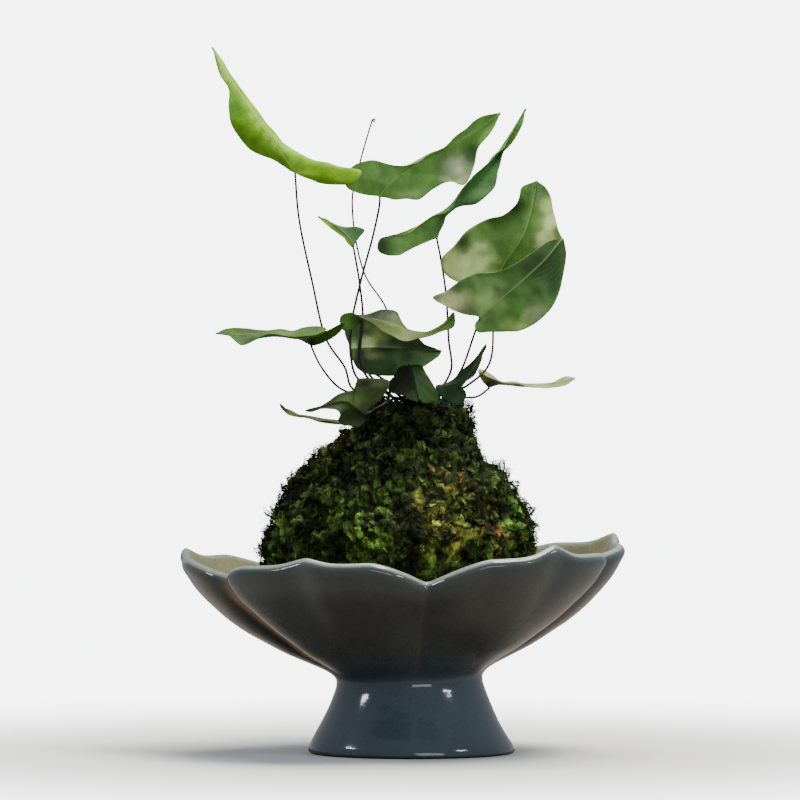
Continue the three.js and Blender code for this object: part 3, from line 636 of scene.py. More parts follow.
def moss_skin():
    """The skin's points, and faces that close it at the bottom and in the crown."""
    outline = through(SKIN_PROFILE, np.linspace(0, 1, SKIN_ROWS))
    points = []
    for radius, height in outline[1:]:
        for j in range(SKIN_COLUMNS):
            around = 2 * math.pi * j / SKIN_COLUMNS
            point = np.array([radius * math.sin(around), -radius * math.cos(around), height])
            outward = point - BALL_MIDDLE
            outward /= np.linalg.norm(outward)
            free = soft_step(height, 36, 44) * soft_step(127 - height, 0, 8)
            point += outward * lumps(point) * free
            point[0] += ball_shift(point[2])
            points.append(point)
    for _, height in (SKIN_PROFILE[0], SKIN_PROFILE[-1]):
        points.append(np.array([ball_shift(height), 0, height]))
    return np.array(points), capped_faces(SKIN_ROWS - 1, SKIN_COLUMNS, len(points) - 2, len(points) - 1)


# %% Old moss finish
def old_moss():
    finish, tree = material("old_moss", Roughness=0.95, Specular_IOR_Level=0.2)
    dark = mottled(tree, 70.0, 0.6, (24, 26, 10), (52, 58, 22))
    bits = mottled(tree, 420.0, 0.3, (30, 22, 12), (66, 76, 28))
    return dressed(finish, blend_colours(tree, 0.45, dark, bits), grained(tree, 500.0, 1800.0), 0.0012)


points, faces = moss_skin()
skin = mesh_object("moss_skin", metres(points), faces, old_moss())
print("moss skin:", len(points), "points")

# %% [markdown]
# ## Sprigs of moss
# Sheet moss is made of feather-like sprigs a few millimetres long: a fine stem that arches over, with tiny
# leaves in pairs. Six kinds are modelled, three short ones and three plumes, each of only 28 triangles,
# because thousands of copies of them cover the ball. The tip of a sprig is younger and paler than its foot,
# and the foot, down in the mat, is darkened with painted shade, so each point keeps how far along it lies.

# %% Sprig shapes
SPRIG_LEAVES = 6          # pairs of leaves on one sprig


def sprig_points(length, rise, droop, width, leaf, lift):
    """One arched sprig in millimetres, with its faces and how far along it each point lies."""
    points, faces, along = [], [], []

    def spine(share):
        return np.array([length * share, 0, rise * math.sin(math.pi * min(share * droop, 1.0))])

    def put(corners, shares):
        faces.append(tuple(range(len(points), len(points) + len(corners))))
        points.extend(corners)
        along.extend(shares)

    for low, high in ((0, 0.5), (0.5, 1)):
        side = np.array([0, width * (1 - 0.6 * low), 0])
        put([spine(low) - side, spine(high) - side * 0.6, spine(high) + side * 0.6, spine(low) + side],
            [low, high, high, low])
    for k in range(SPRIG_LEAVES):
        share = 0.12 + 0.84 * k / (SPRIG_LEAVES - 1)
        reach = leaf * (0.55 + 0.75 * math.sin(math.pi * min(share + 0.1, 1) ** 0.8))
        root = spine(share)
        for hand in (-1, 1):
            tip, belly, shoulder = (
                root + reach * np.array([ahead, hand * aside, lift * up]) for ahead, aside, up in (
                    (0.62, 1, 1 if k % 2 else 0.35), (0.1, 0.52, 0.55), (0.58, 0.38, 0.2),
                )
            )
            put([root, belly, tip, shoulder], [share, share, min(share + 0.3, 1), share])
    return np.array(points), faces, np.array(along)


def sprig_shelf(name, recipes):
    """Kinds of sprig, in a collection that only the Geometry Nodes see."""
    shelf = bpy.data.collections.new(name)
    for kind, *recipe in recipes:
        points, faces, along = sprig_points(*recipe)
        made = mesh_object(kind, points * MM, faces, bpy.data.materials["old_moss"], tip=along)
        bpy.context.scene.collection.objects.unlink(made)
        shelf.objects.link(made)
    return shelf


# Each kind has its length, rise, droop, width, leaf length and lift of the leaves.
SHORT_SPRIGS = sprig_shelf("short_sprigs", [
    ("feather", 5.6, 1.5, 0.8, 0.2, 1.6, 0.2),
    ("tuft", 3.0, 2.8, 0.5, 0.18, 1.3, 0.4),
    ("curl", 4.4, 1.8, 1.0, 0.18, 1.4, -0.15),
])
PLUMES = sprig_shelf("plumes", [
    ("plume", 7.6, 2.4, 0.7, 0.22, 1.9, 0.15),
    ("spike", 5.6, 3.8, 0.45, 0.22, 1.5, 0.3),
    ("lying_plume", 7.2, 1.2, 0.9, 0.22, 2.0, 0.1),
])

# %% [markdown]
# ### Scattering them with Geometry Nodes
# Placing thousands of sprigs by hand isn't possible and a particle system can't be exported, so a Geometry
# Nodes tree does it: points are scattered over the skin, each gets a sprig turned to the skin's normal and
# then leaned and spun at random, and every sprig keeps one random number for its own shade of green. The
# tree ends in Realize Instances and Set Material, because an exporter drops instances.

# %% The scatter tree
SCATTER_SOCKETS = {
    "Skin": "Geometry", "Sector": "Int", "Density": "Float", "Smallest": "Float", "Largest": "Float",
    "Lean": "Float", "Seed": "Int", "Layer": "String", "Kinds": "Collection", "Finish": "Material",
}
RANDOM_SOCKETS = {"FLOAT": (2, 3, 1), "FLOAT_VECTOR": (0, 1, 0), "INT": (4, 5, 2)}     # low, high, result


def scatter_tree(name):
    """Scatters the shelf's sprigs over one sector of a skin."""
    tree = bpy.data.node_groups.new(name, "GeometryNodeTree")
    for label, kind in SCATTER_SOCKETS.items():
        tree.interface.new_socket(label, in_out="INPUT", socket_type="NodeSocket" + kind)
    tree.interface.new_socket("Sprigs", in_out="OUTPUT", socket_type="NodeSocketGeometry")
    given = tree.nodes.new("NodeGroupInput").outputs
    result = tree.nodes.new("NodeGroupOutput")

    def read(layer, kind="FLOAT"):
        made = add(tree, "GeometryNodeInputNamedAttribute", {"Name": layer}, data_type=kind)
        return made.outputs["Attribute"]

    def chance(kind, low, high, offset):
        at_low, at_high, at_result = RANDOM_SOCKETS[kind]
        sockets = {at_low: low, at_high: high, "Seed": arithmetic(tree, "ADD", given["Seed"], offset)}
        return add(tree, "FunctionNodeRandomValue", sockets, data_type=kind).outputs[at_result]

    sockets = {2: read("sector", "INT"), 3: given["Sector"]}
    same = add(tree, "FunctionNodeCompare", sockets, data_type="INT", operation="EQUAL").outputs[0]
    sockets = {"Geometry": given["Skin"], "Selection": same}
    kept = add(tree, "GeometryNodeSeparateGeometry", sockets, domain="FACE")
    density = product(tree, given["Density"], read(given["Layer"]))
    dots = add(tree, "GeometryNodeDistributePointsOnFaces",
               {"Mesh": kept.outputs["Selection"], "Density": density, "Seed": given["Seed"]})
    back = product(tree, given["Lean"], -1.0)
    low = add(tree, "ShaderNodeCombineXYZ", {0: back, 1: back, 2: 0.0}).outputs[0]
    high = add(tree, "ShaderNodeCombineXYZ", {0: given["Lean"], 1: given["Lean"], 2: 2 * math.pi}).outputs[0]
    spin = add(tree, "FunctionNodeEulerToRotation", {0: chance("FLOAT_VECTOR", low, high, 1)})
    turned = add(tree, "FunctionNodeRotateRotation", {0: dots.outputs["Rotation"], 1: spin.outputs[0]},
                 rotation_space="LOCAL")
    kinds = add(tree, "GeometryNodeCollectionInfo",
                {"Collection": given["Kinds"], "Separate Children": True, "Reset Children": True})
    standing = add(tree, "GeometryNodeInstanceOnPoints", {
        "Points": dots.outputs["Points"], "Instance": kinds.outputs[0], "Pick Instance": True,
        "Instance Index": chance("INT", 0, 2, 2), "Rotation": turned.outputs[0],
        "Scale": chance("FLOAT", given["Smallest"], given["Largest"], 3),
    })
    shaded = add(tree, "GeometryNodeStoreNamedAttribute",
                 {"Geometry": standing.outputs[0], "Name": "tone", "Value": chance("FLOAT", 0.0, 1.0, 4)},
                 data_type="FLOAT", domain="INSTANCE")
    real = add(tree, "GeometryNodeRealizeInstances", {"Geometry": shaded.outputs[0]})
    coated = add(tree, "GeometryNodeSetMaterial", {"Geometry": real.outputs[0], "Material": given["Finish"]})
    feed(tree, result.inputs[0], coated.outputs[0])
    return tree


SCATTER = scatter_tree("scatter_sprigs")
print("scatter tree has", len(SCATTER.nodes), "nodes")

# %% [markdown]
# ### Colour of the living moss
# The sprigs aren't one green. Broad patches of the ball differ: yellow-green on the left shoulder, where the
# lighter colour is painted light caught at the ball's edge, and right of the middle, bright green low down,
# nearly black near the neck, which is painted shade under the fronds, with rusty bits between. The patches
# come from noise and from where a point lies on the ball, and the sprig's own random number and its tip move
# each sprig away from its neighbours.

# %% Living moss finish
FRESH, OLIVE = ((54, 88, 32), (100, 132, 52)), ((92, 100, 36), (158, 154, 76))     # darker, lighter
# Lighter patches of moss; the two olive ones on the left shoulder, near (-32, -10, 113) and (-46, -8, 100),
# are painted light caught at the ball's edge.
BRIGHT_PATCHES = [      # middle, reach, share and colours
    ((-16, -42, 79), 17, 0.75, FRESH), ((12, -41, 85), 19, 0.95, OLIVE), ((40, -19, 80), 19, 0.85, FRESH),
    ((26, -36, 92), 12, 0.5, OLIVE), ((-32, -10, 113), 14, 0.9, OLIVE), ((-46, -8, 100), 9, 0.8, OLIVE),
    ((-30, -34, 90), 10, 0.3, FRESH), ((8, -42, 70), 12, 0.4, FRESH),
]
DRY_PATCHES = [((16, -32, 100), 8), ((32, -31, 79), 8), ((8, -30, 103), 4)]
PATCH_CORE = 0.3      # the share of a patch's reach within which it is full
# The foot of a sprig is darkened as painted shade down in the mat; the tip is paler.
AT_FOOT, AT_TIP = (0.28, 0.28, 0.22, 1), (1.5, 1.5, 1.3, 1)     # how the ends of a sprig are toned


def patch(tree, place, middle, reach):
    """A soft round patch: 1 at a point in millimetres from the foot's axis, and 0 beyond its reach."""
    away = add(tree, "ShaderNodeVectorMath", {0: place, 1: tuple(metres(middle))}, operation="DISTANCE")
    return window(tree, away.outputs["Value"], reach * MM, reach * MM * PATCH_CORE)


def living_moss():
    finish, tree = material("living_moss", Roughness=0.62, Specular_IOR_Level=0.12)
    place = object_place(tree)
    across, _, height = add(tree, "ShaderNodeSeparateXYZ", {"Vector": place}).outputs
    tone, tip = attribute(tree, "tone"), attribute(tree, "tip")
    colour = mottled(tree, 34.0, 0.5, (30, 36, 14), (50, 70, 28))
    bright = {kind: mottled(tree, 120.0, 0.5, *kind) for kind in (FRESH, OLIVE)}
    ragged = window(tree, cloud(tree, place, 90.0, 3.0), 0.38, 0.6, 0.15, 1.0)
    for middle, reach, share, kind in BRIGHT_PATCHES:
        mask = product(tree, patch(tree, place, middle, reach), share, ragged)
        colour = blend_colours(tree, mask, colour, bright[kind])
    neck = window(tree, height, 0.096, 0.112, 0.0, 0.55)
    shade = product(tree, neck, window(tree, across, -0.030, -0.018))
    colour = blend_colours(tree, shade, colour, srgb(34, 40, 20))
    for middle, reach in DRY_PATCHES:
        dry = product(tree, patch(tree, place, middle, reach), window(tree, tone, 0.66, 0.76))
        colour = blend_colours(tree, dry, colour, srgb(90, 60, 34))
    clump = window(tree, cloud(tree, place, 125.0, 2.0), 0.36, 0.64, 0.2, 1.7)
    colour = scaled(tree, colour, product(tree, clump, window(tree, tone, 0.3, 1.0, 0.5, 2.5)))
    # painted shade at each sprig's foot, and a paler young tip
    root, young = (blend_colours(tree, 1.0, colour, by, "MULTIPLY") for by in (AT_FOOT, AT_TIP))
    return dressed(finish, blend_colours(tree, window(tree, tip, 0.1, 0.95), root, young))


LIVING_MOSS = living_moss()

# %% Mark the skin
SECTORS, SECTOR_AXIS_X = 5, -4
TUFTS = [((-31, -12, 112), 11), ((-48, -8, 99), 8), ((42, -14, 96), 7)]     # the shaggiest places
TUFT_GAIN = 2.5


def plant_places(items, field):
    """The places of a mesh's points or faces, in millimetres from the foot's axis."""
    flat = np.empty(len(items) * 3, np.float32)
    items.foreach_get(field, flat)
    return flat.reshape(-1, 3) / MM - FOOT_AXIS


def mark_skin(piece):
    """Writes on the skin which sector a face belongs to, and how thickly moss grows at each point."""
    mesh = piece.data
    centres = plant_places(mesh.polygons, "center")
    around = np.arctan2(centres[:, 0] - SECTOR_AXIS_X, -centres[:, 1]) / (2 * math.pi) + 0.5
    sector = np.minimum((around * SECTORS).astype(np.int32), SECTORS - 1)
    mesh.attributes.new("sector", "INT", "FACE").data.foreach_set("value", sector)
    spots = plant_places(mesh.vertices, "co")
    above_well = soft_step(spots[:, 2], 44, 56)
    clumps = np.array([noise.noise(Vector(vertex.co) / MM / 5.5) for vertex in mesh.vertices])
    growth = above_well * (0.45 + 0.75 * soft_step(clumps, -0.25, 0.15))
    shag = above_well * soft_step(clumps, -0.05, 0.25)
    for middle, reach in TUFTS:
        away = np.linalg.norm(spots - middle, axis=1)
        shag += TUFT_GAIN * soft_step(reach - away, 0, 0.5 * reach)
    for name, values in (("growth", growth), ("shag", shag)):
        mesh.attributes.new(name, "FLOAT", "POINT").data.foreach_set("value", values.astype(np.float32))


mark_skin(skin)
print("layers on the skin:", list(skin.data.attributes.keys()))

# %% Grow the sprigs
SPRIG_DENSITY = 620000.0     # short sprigs to a square metre
PLUME_DENSITY = 230000.0     # plumes to a square metre, where the moss is shaggy
FIRST_SEED = 11


def grown(source, tree, name, **values):
    """The plain mesh that a Geometry Nodes tree makes on a source object."""
    modifier = source.modifiers.new(name, "NODES")
    modifier.node_group = tree
    for item in tree.interface.items_tree:
        if item.in_out == "INPUT" and item.name in values:
            modifier[item.identifier] = values[item.name]
    source.update_tag()
    depsgraph = bpy.context.evaluated_depsgraph_get()
    mesh = bpy.data.meshes.new_from_object(source.evaluated_get(depsgraph))
    source.modifiers.remove(modifier)
    made = bpy.data.objects.new(name, mesh)
    mesh.name = name
    bpy.context.scene.collection.objects.link(made)
    return made


for sector in range(SECTORS):
    shared = dict(Sector=sector, Seed=sector + FIRST_SEED, Smallest=0.45, Finish=LIVING_MOSS)
    sprigs = grown(skin, SCATTER, f"moss_sprigs_{sector + 1}", Density=SPRIG_DENSITY, Layer="growth",
                   Largest=1.0, Lean=0.55, Kinds=SHORT_SPRIGS, **shared)
    settle(sprigs, "moss")
    plumes = grown(skin, SCATTER, f"moss_plumes_{sector + 1}", Density=PLUME_DENSITY, Layer="shag",
                   Largest=0.85, Lean=0.5, Kinds=PLUMES, **shared)
    settle(plumes, "moss")
settle(skin, "moss", "moss_jacket")

# %% [markdown]
# ## The blades
# A blade of this fern is a heart, drawn out to a tip, and no two on the plant bend alike. Each is described
# by its midrib and two margins, and the sheet between them is worked out: rows run from one margin over the
# midrib to the other, and behind the joint they fan out into the two lobes, as the veins do. Bending one
# flat leaf into fourteen poses would fight the mesh, while this gives each blade its own measured twist.

# %% Where each frond stands
# Each frond has its name, its place on the rhizome, the direction in which its stem leaves the blade, and
# four lines in millimetres: the midrib, the left and the right margin, and the way of its stem.
Frond = namedtuple("Frond", "name place leave midrib left right via")

FRONDS = [
    Frond("top_left", 9, (0.1, 0, -1), [
        (-42, 0, 208.5), (-48, 6, 217.5), (-57, 14, 230.5), (-65.5, 23.5, 243.5), (-73, 34, 256.5),
    ], [
        (-32, -4, 205.5), (-21.5, -10.5, 204), (-18, -10, 208.5), (-24.5, -5.5, 210), (-33, 1, 211),
        (-40.5, 8.5, 214), (-46.5, 16, 219.5), (-52.5, 20.5, 226), (-59, 26, 236), (-65, 29, 243.5),
    ], [
        (-43.5, 4, 211), (-44.5, 9, 213), (-47.5, 13.5, 214.5), (-53, 13, 215), (-58.5, 13.5, 217.5),
        (-62.5, 14.5, 221.5), (-65.5, 15, 227), (-66.5, 16.5, 233), (-66.5, 20.5, 239.5),
        (-70, 26.5, 245.5),
    ], [
        (-14, 4, 128.2), (-21.5, 5, 131), (-24.1, 5.4, 138.4), (-30.7, 5.6, 148.4), (-36, 4, 169.9),
        (-40.6, 1, 192.2),
    ]),
    Frond("top_middle", 14, (-0.3, 0.1, -1), [
        (-11.5, 0, 200), (-8.5, -3, 203.5), (-0.5, -7.5, 211), (11.5, -13, 216.5), (22.5, -15.5, 223),
        (32, -16, 229.5),
    ], [
        (-18, 5, 201), (-23.5, 9.5, 204), (-22.5, 7.5, 210), (-15.5, 0.5, 213), (-8.5, -6.5, 211.5),
        (-1.5, -13, 210.5), (5, -18.5, 213.5), (11.5, -21.5, 217), (18, -22, 223), (25, -21, 227.5),
    ], [
        (-9, 0, 199.5), (-6.5, -0.5, 199), (-3, -2, 199), (2.5, -7, 198.5), (7.5, -12, 202),
        (13.5, -16, 204.5), (18.5, -18.5, 203.5), (22, -20, 210), (23.5, -19, 216), (27.5, -19, 221),
    ], [
        (-9, 8.5, 129), (-19.5, 8.5, 134.5), (-22, 7.5, 142.5), (-21.9, 7, 153), (-18.3, 6, 169.9),
        (-14, 4, 185.7), (-11.6, 2, 197),
    ]),
    Frond("tall_right", 3, (0.15, 0.5, -1), [
        (9, 0, 185), (10.5, 0.5, 189.5), (13.5, 3, 195), (18, 7.5, 200), (25, 14, 207), (32, 23, 217.5),
        (42, 35.5, 234),
    ], [
        (3, -2, 183.5), (-5, -6, 178.5), (-12, -8.5, 180), (-11.5, -7, 184.5), (-2.5, -4.5, 186.5),
        (7, -2.5, 191.5), (13, -3, 195), (18.5, 0.5, 202.5), (25.5, 7, 210), (34.5, 20.5, 220.5),
    ], [
        (9, 2.5, 186), (10, 6, 187.5), (11, 9, 190.5), (13, 10, 194.5), (17.5, 9.5, 196.5),
        (23.5, 10, 198.5), (30, 12, 203.5), (31.5, 15, 210), (33.5, 20, 216), (40, 29, 225.5),
    ], [
        (9, 4, 129), (14.2, 5, 137.5), (13.4, 6, 148.3), (12.4, 6.5, 165), (11, 6, 175),
    ]),
    Frond("upper_right", 8, (0, 0.3, -1), [
        (29.5, 4, 169.5), (33.5, 5.5, 176.5), (40, 8.5, 186), (43.5, 15, 196.5), (45.5, 22, 206.5),
    ], [
        (24, 2.5, 168.5), (17, 0.5, 169), (11.5, -1.5, 172.5), (10.5, -2, 177), (15, -0.5, 182),
        (19.5, 2.5, 187.5), (26, 6, 191.5), (33, 6, 193.5), (37.5, 8, 197.5), (40, 16, 204),
    ], [
        (33, 3.5, 165.5), (39, 5, 164), (46.5, 9, 166.5), (52.5, 12.5, 172), (55.5, 14, 178),
        (55, 14, 184.5), (53, 14.5, 189), (51.5, 16.5, 195.5), (50.5, 19, 201), (48.5, 20.5, 204.5),
    ], [
        (14, 3, 128.6), (21, 2.5, 132.6), (27, 3, 138), (28.9, 3.4, 143), (29.4, 4, 152),
    ]),
    Frond("lower_right", 5, (-0.1, 1, -0.6), [
        (24.5, -12, 156.5), (31.5, -17.5, 162.5), (39, -21.5, 169), (47.5, -23.5, 177), (54, -24, 184.5),
    ], [
        (19.5, -9.5, 157.5), (13.5, -7.5, 159.5), (7.5, -6.5, 163.5), (12.5, -8, 166), (17.5, -11.5, 169.5),
        (23.5, -16.5, 172), (30.5, -22, 172.5), (36, -25, 174.5), (42, -25, 178.5), (48.5, -23, 183),
    ], [
        (22.5, -11, 153.5), (23.5, -10.5, 151), (28, -13, 151), (33.5, -15.5, 151), (39, -18.5, 151.5),
        (44, -21, 154), (49.5, -23, 159), (52.5, -23.5, 165), (54, -23, 171.5), (55, -23.5, 178.5),
    ], [
        (10.5, -4.5, 128.4), (16, -6, 134.6), (18.5, -6.5, 139), (22, -7.5, 149),
    ]),
    Frond("small_middle", 1, (0.05, 0, -1), [
        (-21, -1, 182), (-23.5, -1, 185.5), (-27.5, -2, 189), (-34, -3, 192.5),
    ], [
        (-21.5, 0, 182), (-22, -2, 182), (-23, -4, 183), (-24.5, -4, 185), (-26.5, -4, 186.5),
        (-28.5, -4, 188), (-31, -4, 190),
    ], [
        (-20, 2, 185), (-17, 4, 188), (-20, 3, 189), (-23.5, 2, 189), (-26.5, 1, 190), (-29, 0, 191),
        (-31, -1, 192),
    ], [
        (-6, 3, 129.5), (-14.5, 4.5, 135), (-18.3, 5.5, 142), (-17.6, 5, 157), (-18.8, 1, 169),
    ]),
    Frond("far_left", 12, (0.5, 0.1, -1), [
        (-36, -14, 146), (-40, -15, 148), (-45, -18, 149.5), (-53.5, -21, 150), (-61, -24.5, 149.5),
        (-70, -26.5, 150),
    ], [
        (-33.5, -17, 147), (-28.5, -19.5, 149), (-24, -20.5, 154), (-28, -23.5, 152), (-33.5, -27, 150.5),
        (-39, -29, 149.5), (-45.5, -30, 149.5), (-52, -31, 149.5), (-60, -31.5, 146), (-65, -29, 149.5),
    ], [
        (-35.5, -10.5, 148), (-32, -6, 151), (-31, -1.5, 153), (-34.5, 0.5, 153.5), (-39, 0, 153),
        (-43, -1, 151.5), (-47.5, -3.5, 151.5), (-53.5, -7, 152), (-59.5, -13, 152.5), (-65, -20, 152.5),
    ], [
        (-9.5, -4.5, 127.8), (-18, -8, 128.4), (-25.8, -10, 131), (-32.6, -13, 138.9),
    ]),
    Frond("middle", 4, (0, 0.1, -1), [
        (-18, -7, 155), (-13, -8.5, 155), (-6, -11, 153), (2, -13, 150), (9.5, -13, 152),
        (15.5, -12.5, 158),
    ], [
        (-19, -6, 157), (-19.5, -3.5, 157.5), (-18, 0, 157.5), (-14.5, 1, 158), (-10, 1, 159),
        (-5.5, 0, 158.5), (-3.5, -1.5, 156), (-1.5, -4, 152.5), (5, -8, 151), (12, -10.5, 155),
    ], [
        (-21, -8.5, 152.5), (-24.5, -11.5, 151.5), (-25.5, -14, 156), (-21.5, -17, 158),
        (-16.5, -19.5, 155.5), (-10.5, -22, 152), (-4, -23.5, 148), (3.5, -22.5, 149), (9.5, -19, 150.5),
        (15, -15.5, 153),
    ], [
        (-8, -1.5, 129), (-15.5, -2.5, 134.4), (-18.9, -4, 141), (-18.6, -6, 149),
    ]),
    Frond("shaded", 11, (0.1, 1, -0.5), [
        (-22, 10, 145), (-14.5, 9, 145.5), (-2.5, 8, 145.5), (11, 8, 144.5),
    ], [
        (-23, 11, 147.5), (-24.5, 12, 151), (-22, 12, 155.5), (-15.5, 12, 155.5), (-10, 10, 154.5),
        (-5, 8, 153), (-0.5, 6, 151), (3, 6, 148.5), (5, 6, 146.5), (8.5, 7, 145.5),
    ], [
        (-22.5, 11, 143), (-21.5, 12, 141.5), (-19.5, 12, 138.5), (-16.5, 11, 136.5), (-12, 9, 135.5),
        (-5.5, 7, 135.5), (-0.5, 5, 137), (4, 4.5, 138.5), (7, 5, 140.5), (10, 7, 142.5),
    ], [
        (0, 11, 128.6), (-9, 13.5, 133.5), (-17.5, 14.5, 139.5),
    ]),
    Frond("front", 2, (0, 0, -1), [
        (-1, -11, 139), (0, -17, 137.5), (1, -25, 134), (3, -37, 126),
    ], [
        (1, -8, 139.5), (3.5, -4, 139), (5, -4, 137), (6.5, -8, 134.5), (7.5, -11, 132.5),
        (8.5, -16, 130.5), (10, -21, 128), (9.5, -27, 126.5), (7.5, -31, 126), (5, -35, 125.5),
    ], [
        (-3, -8, 139), (-5, -5, 138), (-6.5, -5, 135.5), (-8, -7, 133.5), (-8.5, -11, 131.5),
        (-8, -16, 129.5), (-7, -21, 129), (-5, -26, 128.5), (-3, -31, 128), (-0.5, -35, 126.5),
    ], [
        (0, -5.8, 128.4), (-0.8, -9, 133),
    ]),
    Frond("low_left", 15, (0.3, 1, 0.2), [
        (-16.5, -24, 121.5), (-20, -26, 124), (-23.5, -27, 126), (-30.5, -28, 124.5), (-38, -29, 122.5),
    ], [
        (-17, -24.5, 119), (-19, -25.5, 117), (-22, -27, 117.5), (-24.5, -28, 118), (-26, -29, 119.5),
        (-25.5, -29.5, 121.5), (-26.5, -29.5, 123), (-29, -29.5, 123.5), (-32.5, -29.5, 123.5),
        (-35.5, -29.5, 122.5),
    ], [
        (-14, -23, 124), (-9.5, -23, 129), (-8, -22, 133.5), (-13.5, -22, 134.5), (-19.5, -21, 134),
        (-19.5, -23, 131), (-22.5, -24.5, 130), (-26, -26, 129), (-30, -27, 126), (-33.5, -28, 124),
    ], [
        (-1.4, -11, 127.4), (-6, -15, 127.2), (-11, -19.5, 124.6),
    ]),
    Frond("drooping_left", 7, (0.5, 0.1, 1), [
        (-22, -17, 118), (-29, -17, 119), (-37, -15.5, 120.5), (-43, -13.5, 121.5), (-47.5, -12.5, 125),
    ], [
        (-21, -19.5, 118), (-20, -22.5, 117.5), (-22, -24, 117.5), (-25, -25, 118), (-28.5, -25, 118.5),
        (-32.5, -24, 119), (-36.5, -21.5, 120), (-40.5, -19.5, 120.5), (-44, -16.5, 121.5),
        (-46.5, -14, 123.5),
    ], [
        (-21.5, -15, 118.5), (-21.5, -12, 119), (-23.5, -9.5, 119.5), (-26.5, -7.5, 119.5),
        (-30, -6.5, 120), (-34, -6.5, 120.5), (-37.5, -7.5, 121), (-41, -8.5, 122), (-43.5, -9.5, 123),
        (-46, -11, 124),
    ], [
        (-5, -7.5, 127.4), (-12.5, -12, 127.2), (-18.5, -15.5, 124),
    ]),
    Frond("dark_right", 10, (-0.4, 1, -0.5), [
        (17.5, -14.5, 131.5), (20, -14, 135), (22.5, -12.5, 139.5), (26.5, -10, 147),
    ], [
        (19.5, -14.5, 129), (17.5, -15, 125), (12, -15, 126.5), (8.5, -13, 131.5), (12, -11, 133),
        (15, -10.5, 134.5), (17.5, -10.5, 137), (20, -11, 139), (23, -11.5, 142), (25, -11, 145),
    ], [
        (18.5, -14, 133), (19.5, -13, 134), (21, -11.5, 135), (22.5, -9.5, 135.5), (23.5, -8.5, 137),
        (24.5, -8, 139), (25.5, -8, 141), (26, -8.5, 143), (27, -9, 145.5),
    ], [
        (6, -7.5, 127.8), (13, -9.5, 128.8),
    ]),
    Frond("far_right", 13, (-0.7, 0, -0.7), [
        (28, 2, 131), (33.5, 5, 132.5), (43, 11.5, 132), (51.5, 18.5, 132.5), (60, 26, 134.5),
    ], [
        (27, 4.5, 132), (25, 6.5, 134.5), (24, 9, 137.5), (27, 12.5, 136.5), (31.5, 15.5, 134.5),
        (36, 18, 133.5), (41, 20.5, 132.5), (46.5, 23, 132.5), (51.5, 24.5, 133.5), (56.5, 26, 135.5),
    ], [
        (27.5, -1, 131.5), (25.5, -3.5, 134), (24.5, -6.5, 136.5), (27.5, -6.5, 135), (31.5, -5, 133),
        (35.5, -2, 132.5), (39.5, 1, 132), (45, 5.5, 131), (50, 11, 131), (56, 19, 132),
    ], [
        (12, -0.6, 127.6), (18, 0, 127.6), (23.7, 1, 128),
    ]),
]
print(len(FRONDS), "fronds")

# %% [markdown]
# ### The colours of each blade
# No two blades of the fern are the same green: the young one is yellow-green, and much of the rest is
# painted light. The shaded blades are nearly black with painted shade from the blades above, the two halves
# of a folded blade are toned apart as the light falls on them, and creamy patches are painted sheen where a
# blade catches the light. One noise over all of them would miss that, so each blade has the colours of its
# two halves and midrib, and a few soft spots laid over them. The numbers of a spot are its place to the side
# and up, its reach to the side and up, its colour and its share.

# %% Colours of the blades
Look = namedtuple("Look", "strength left right rib spots")
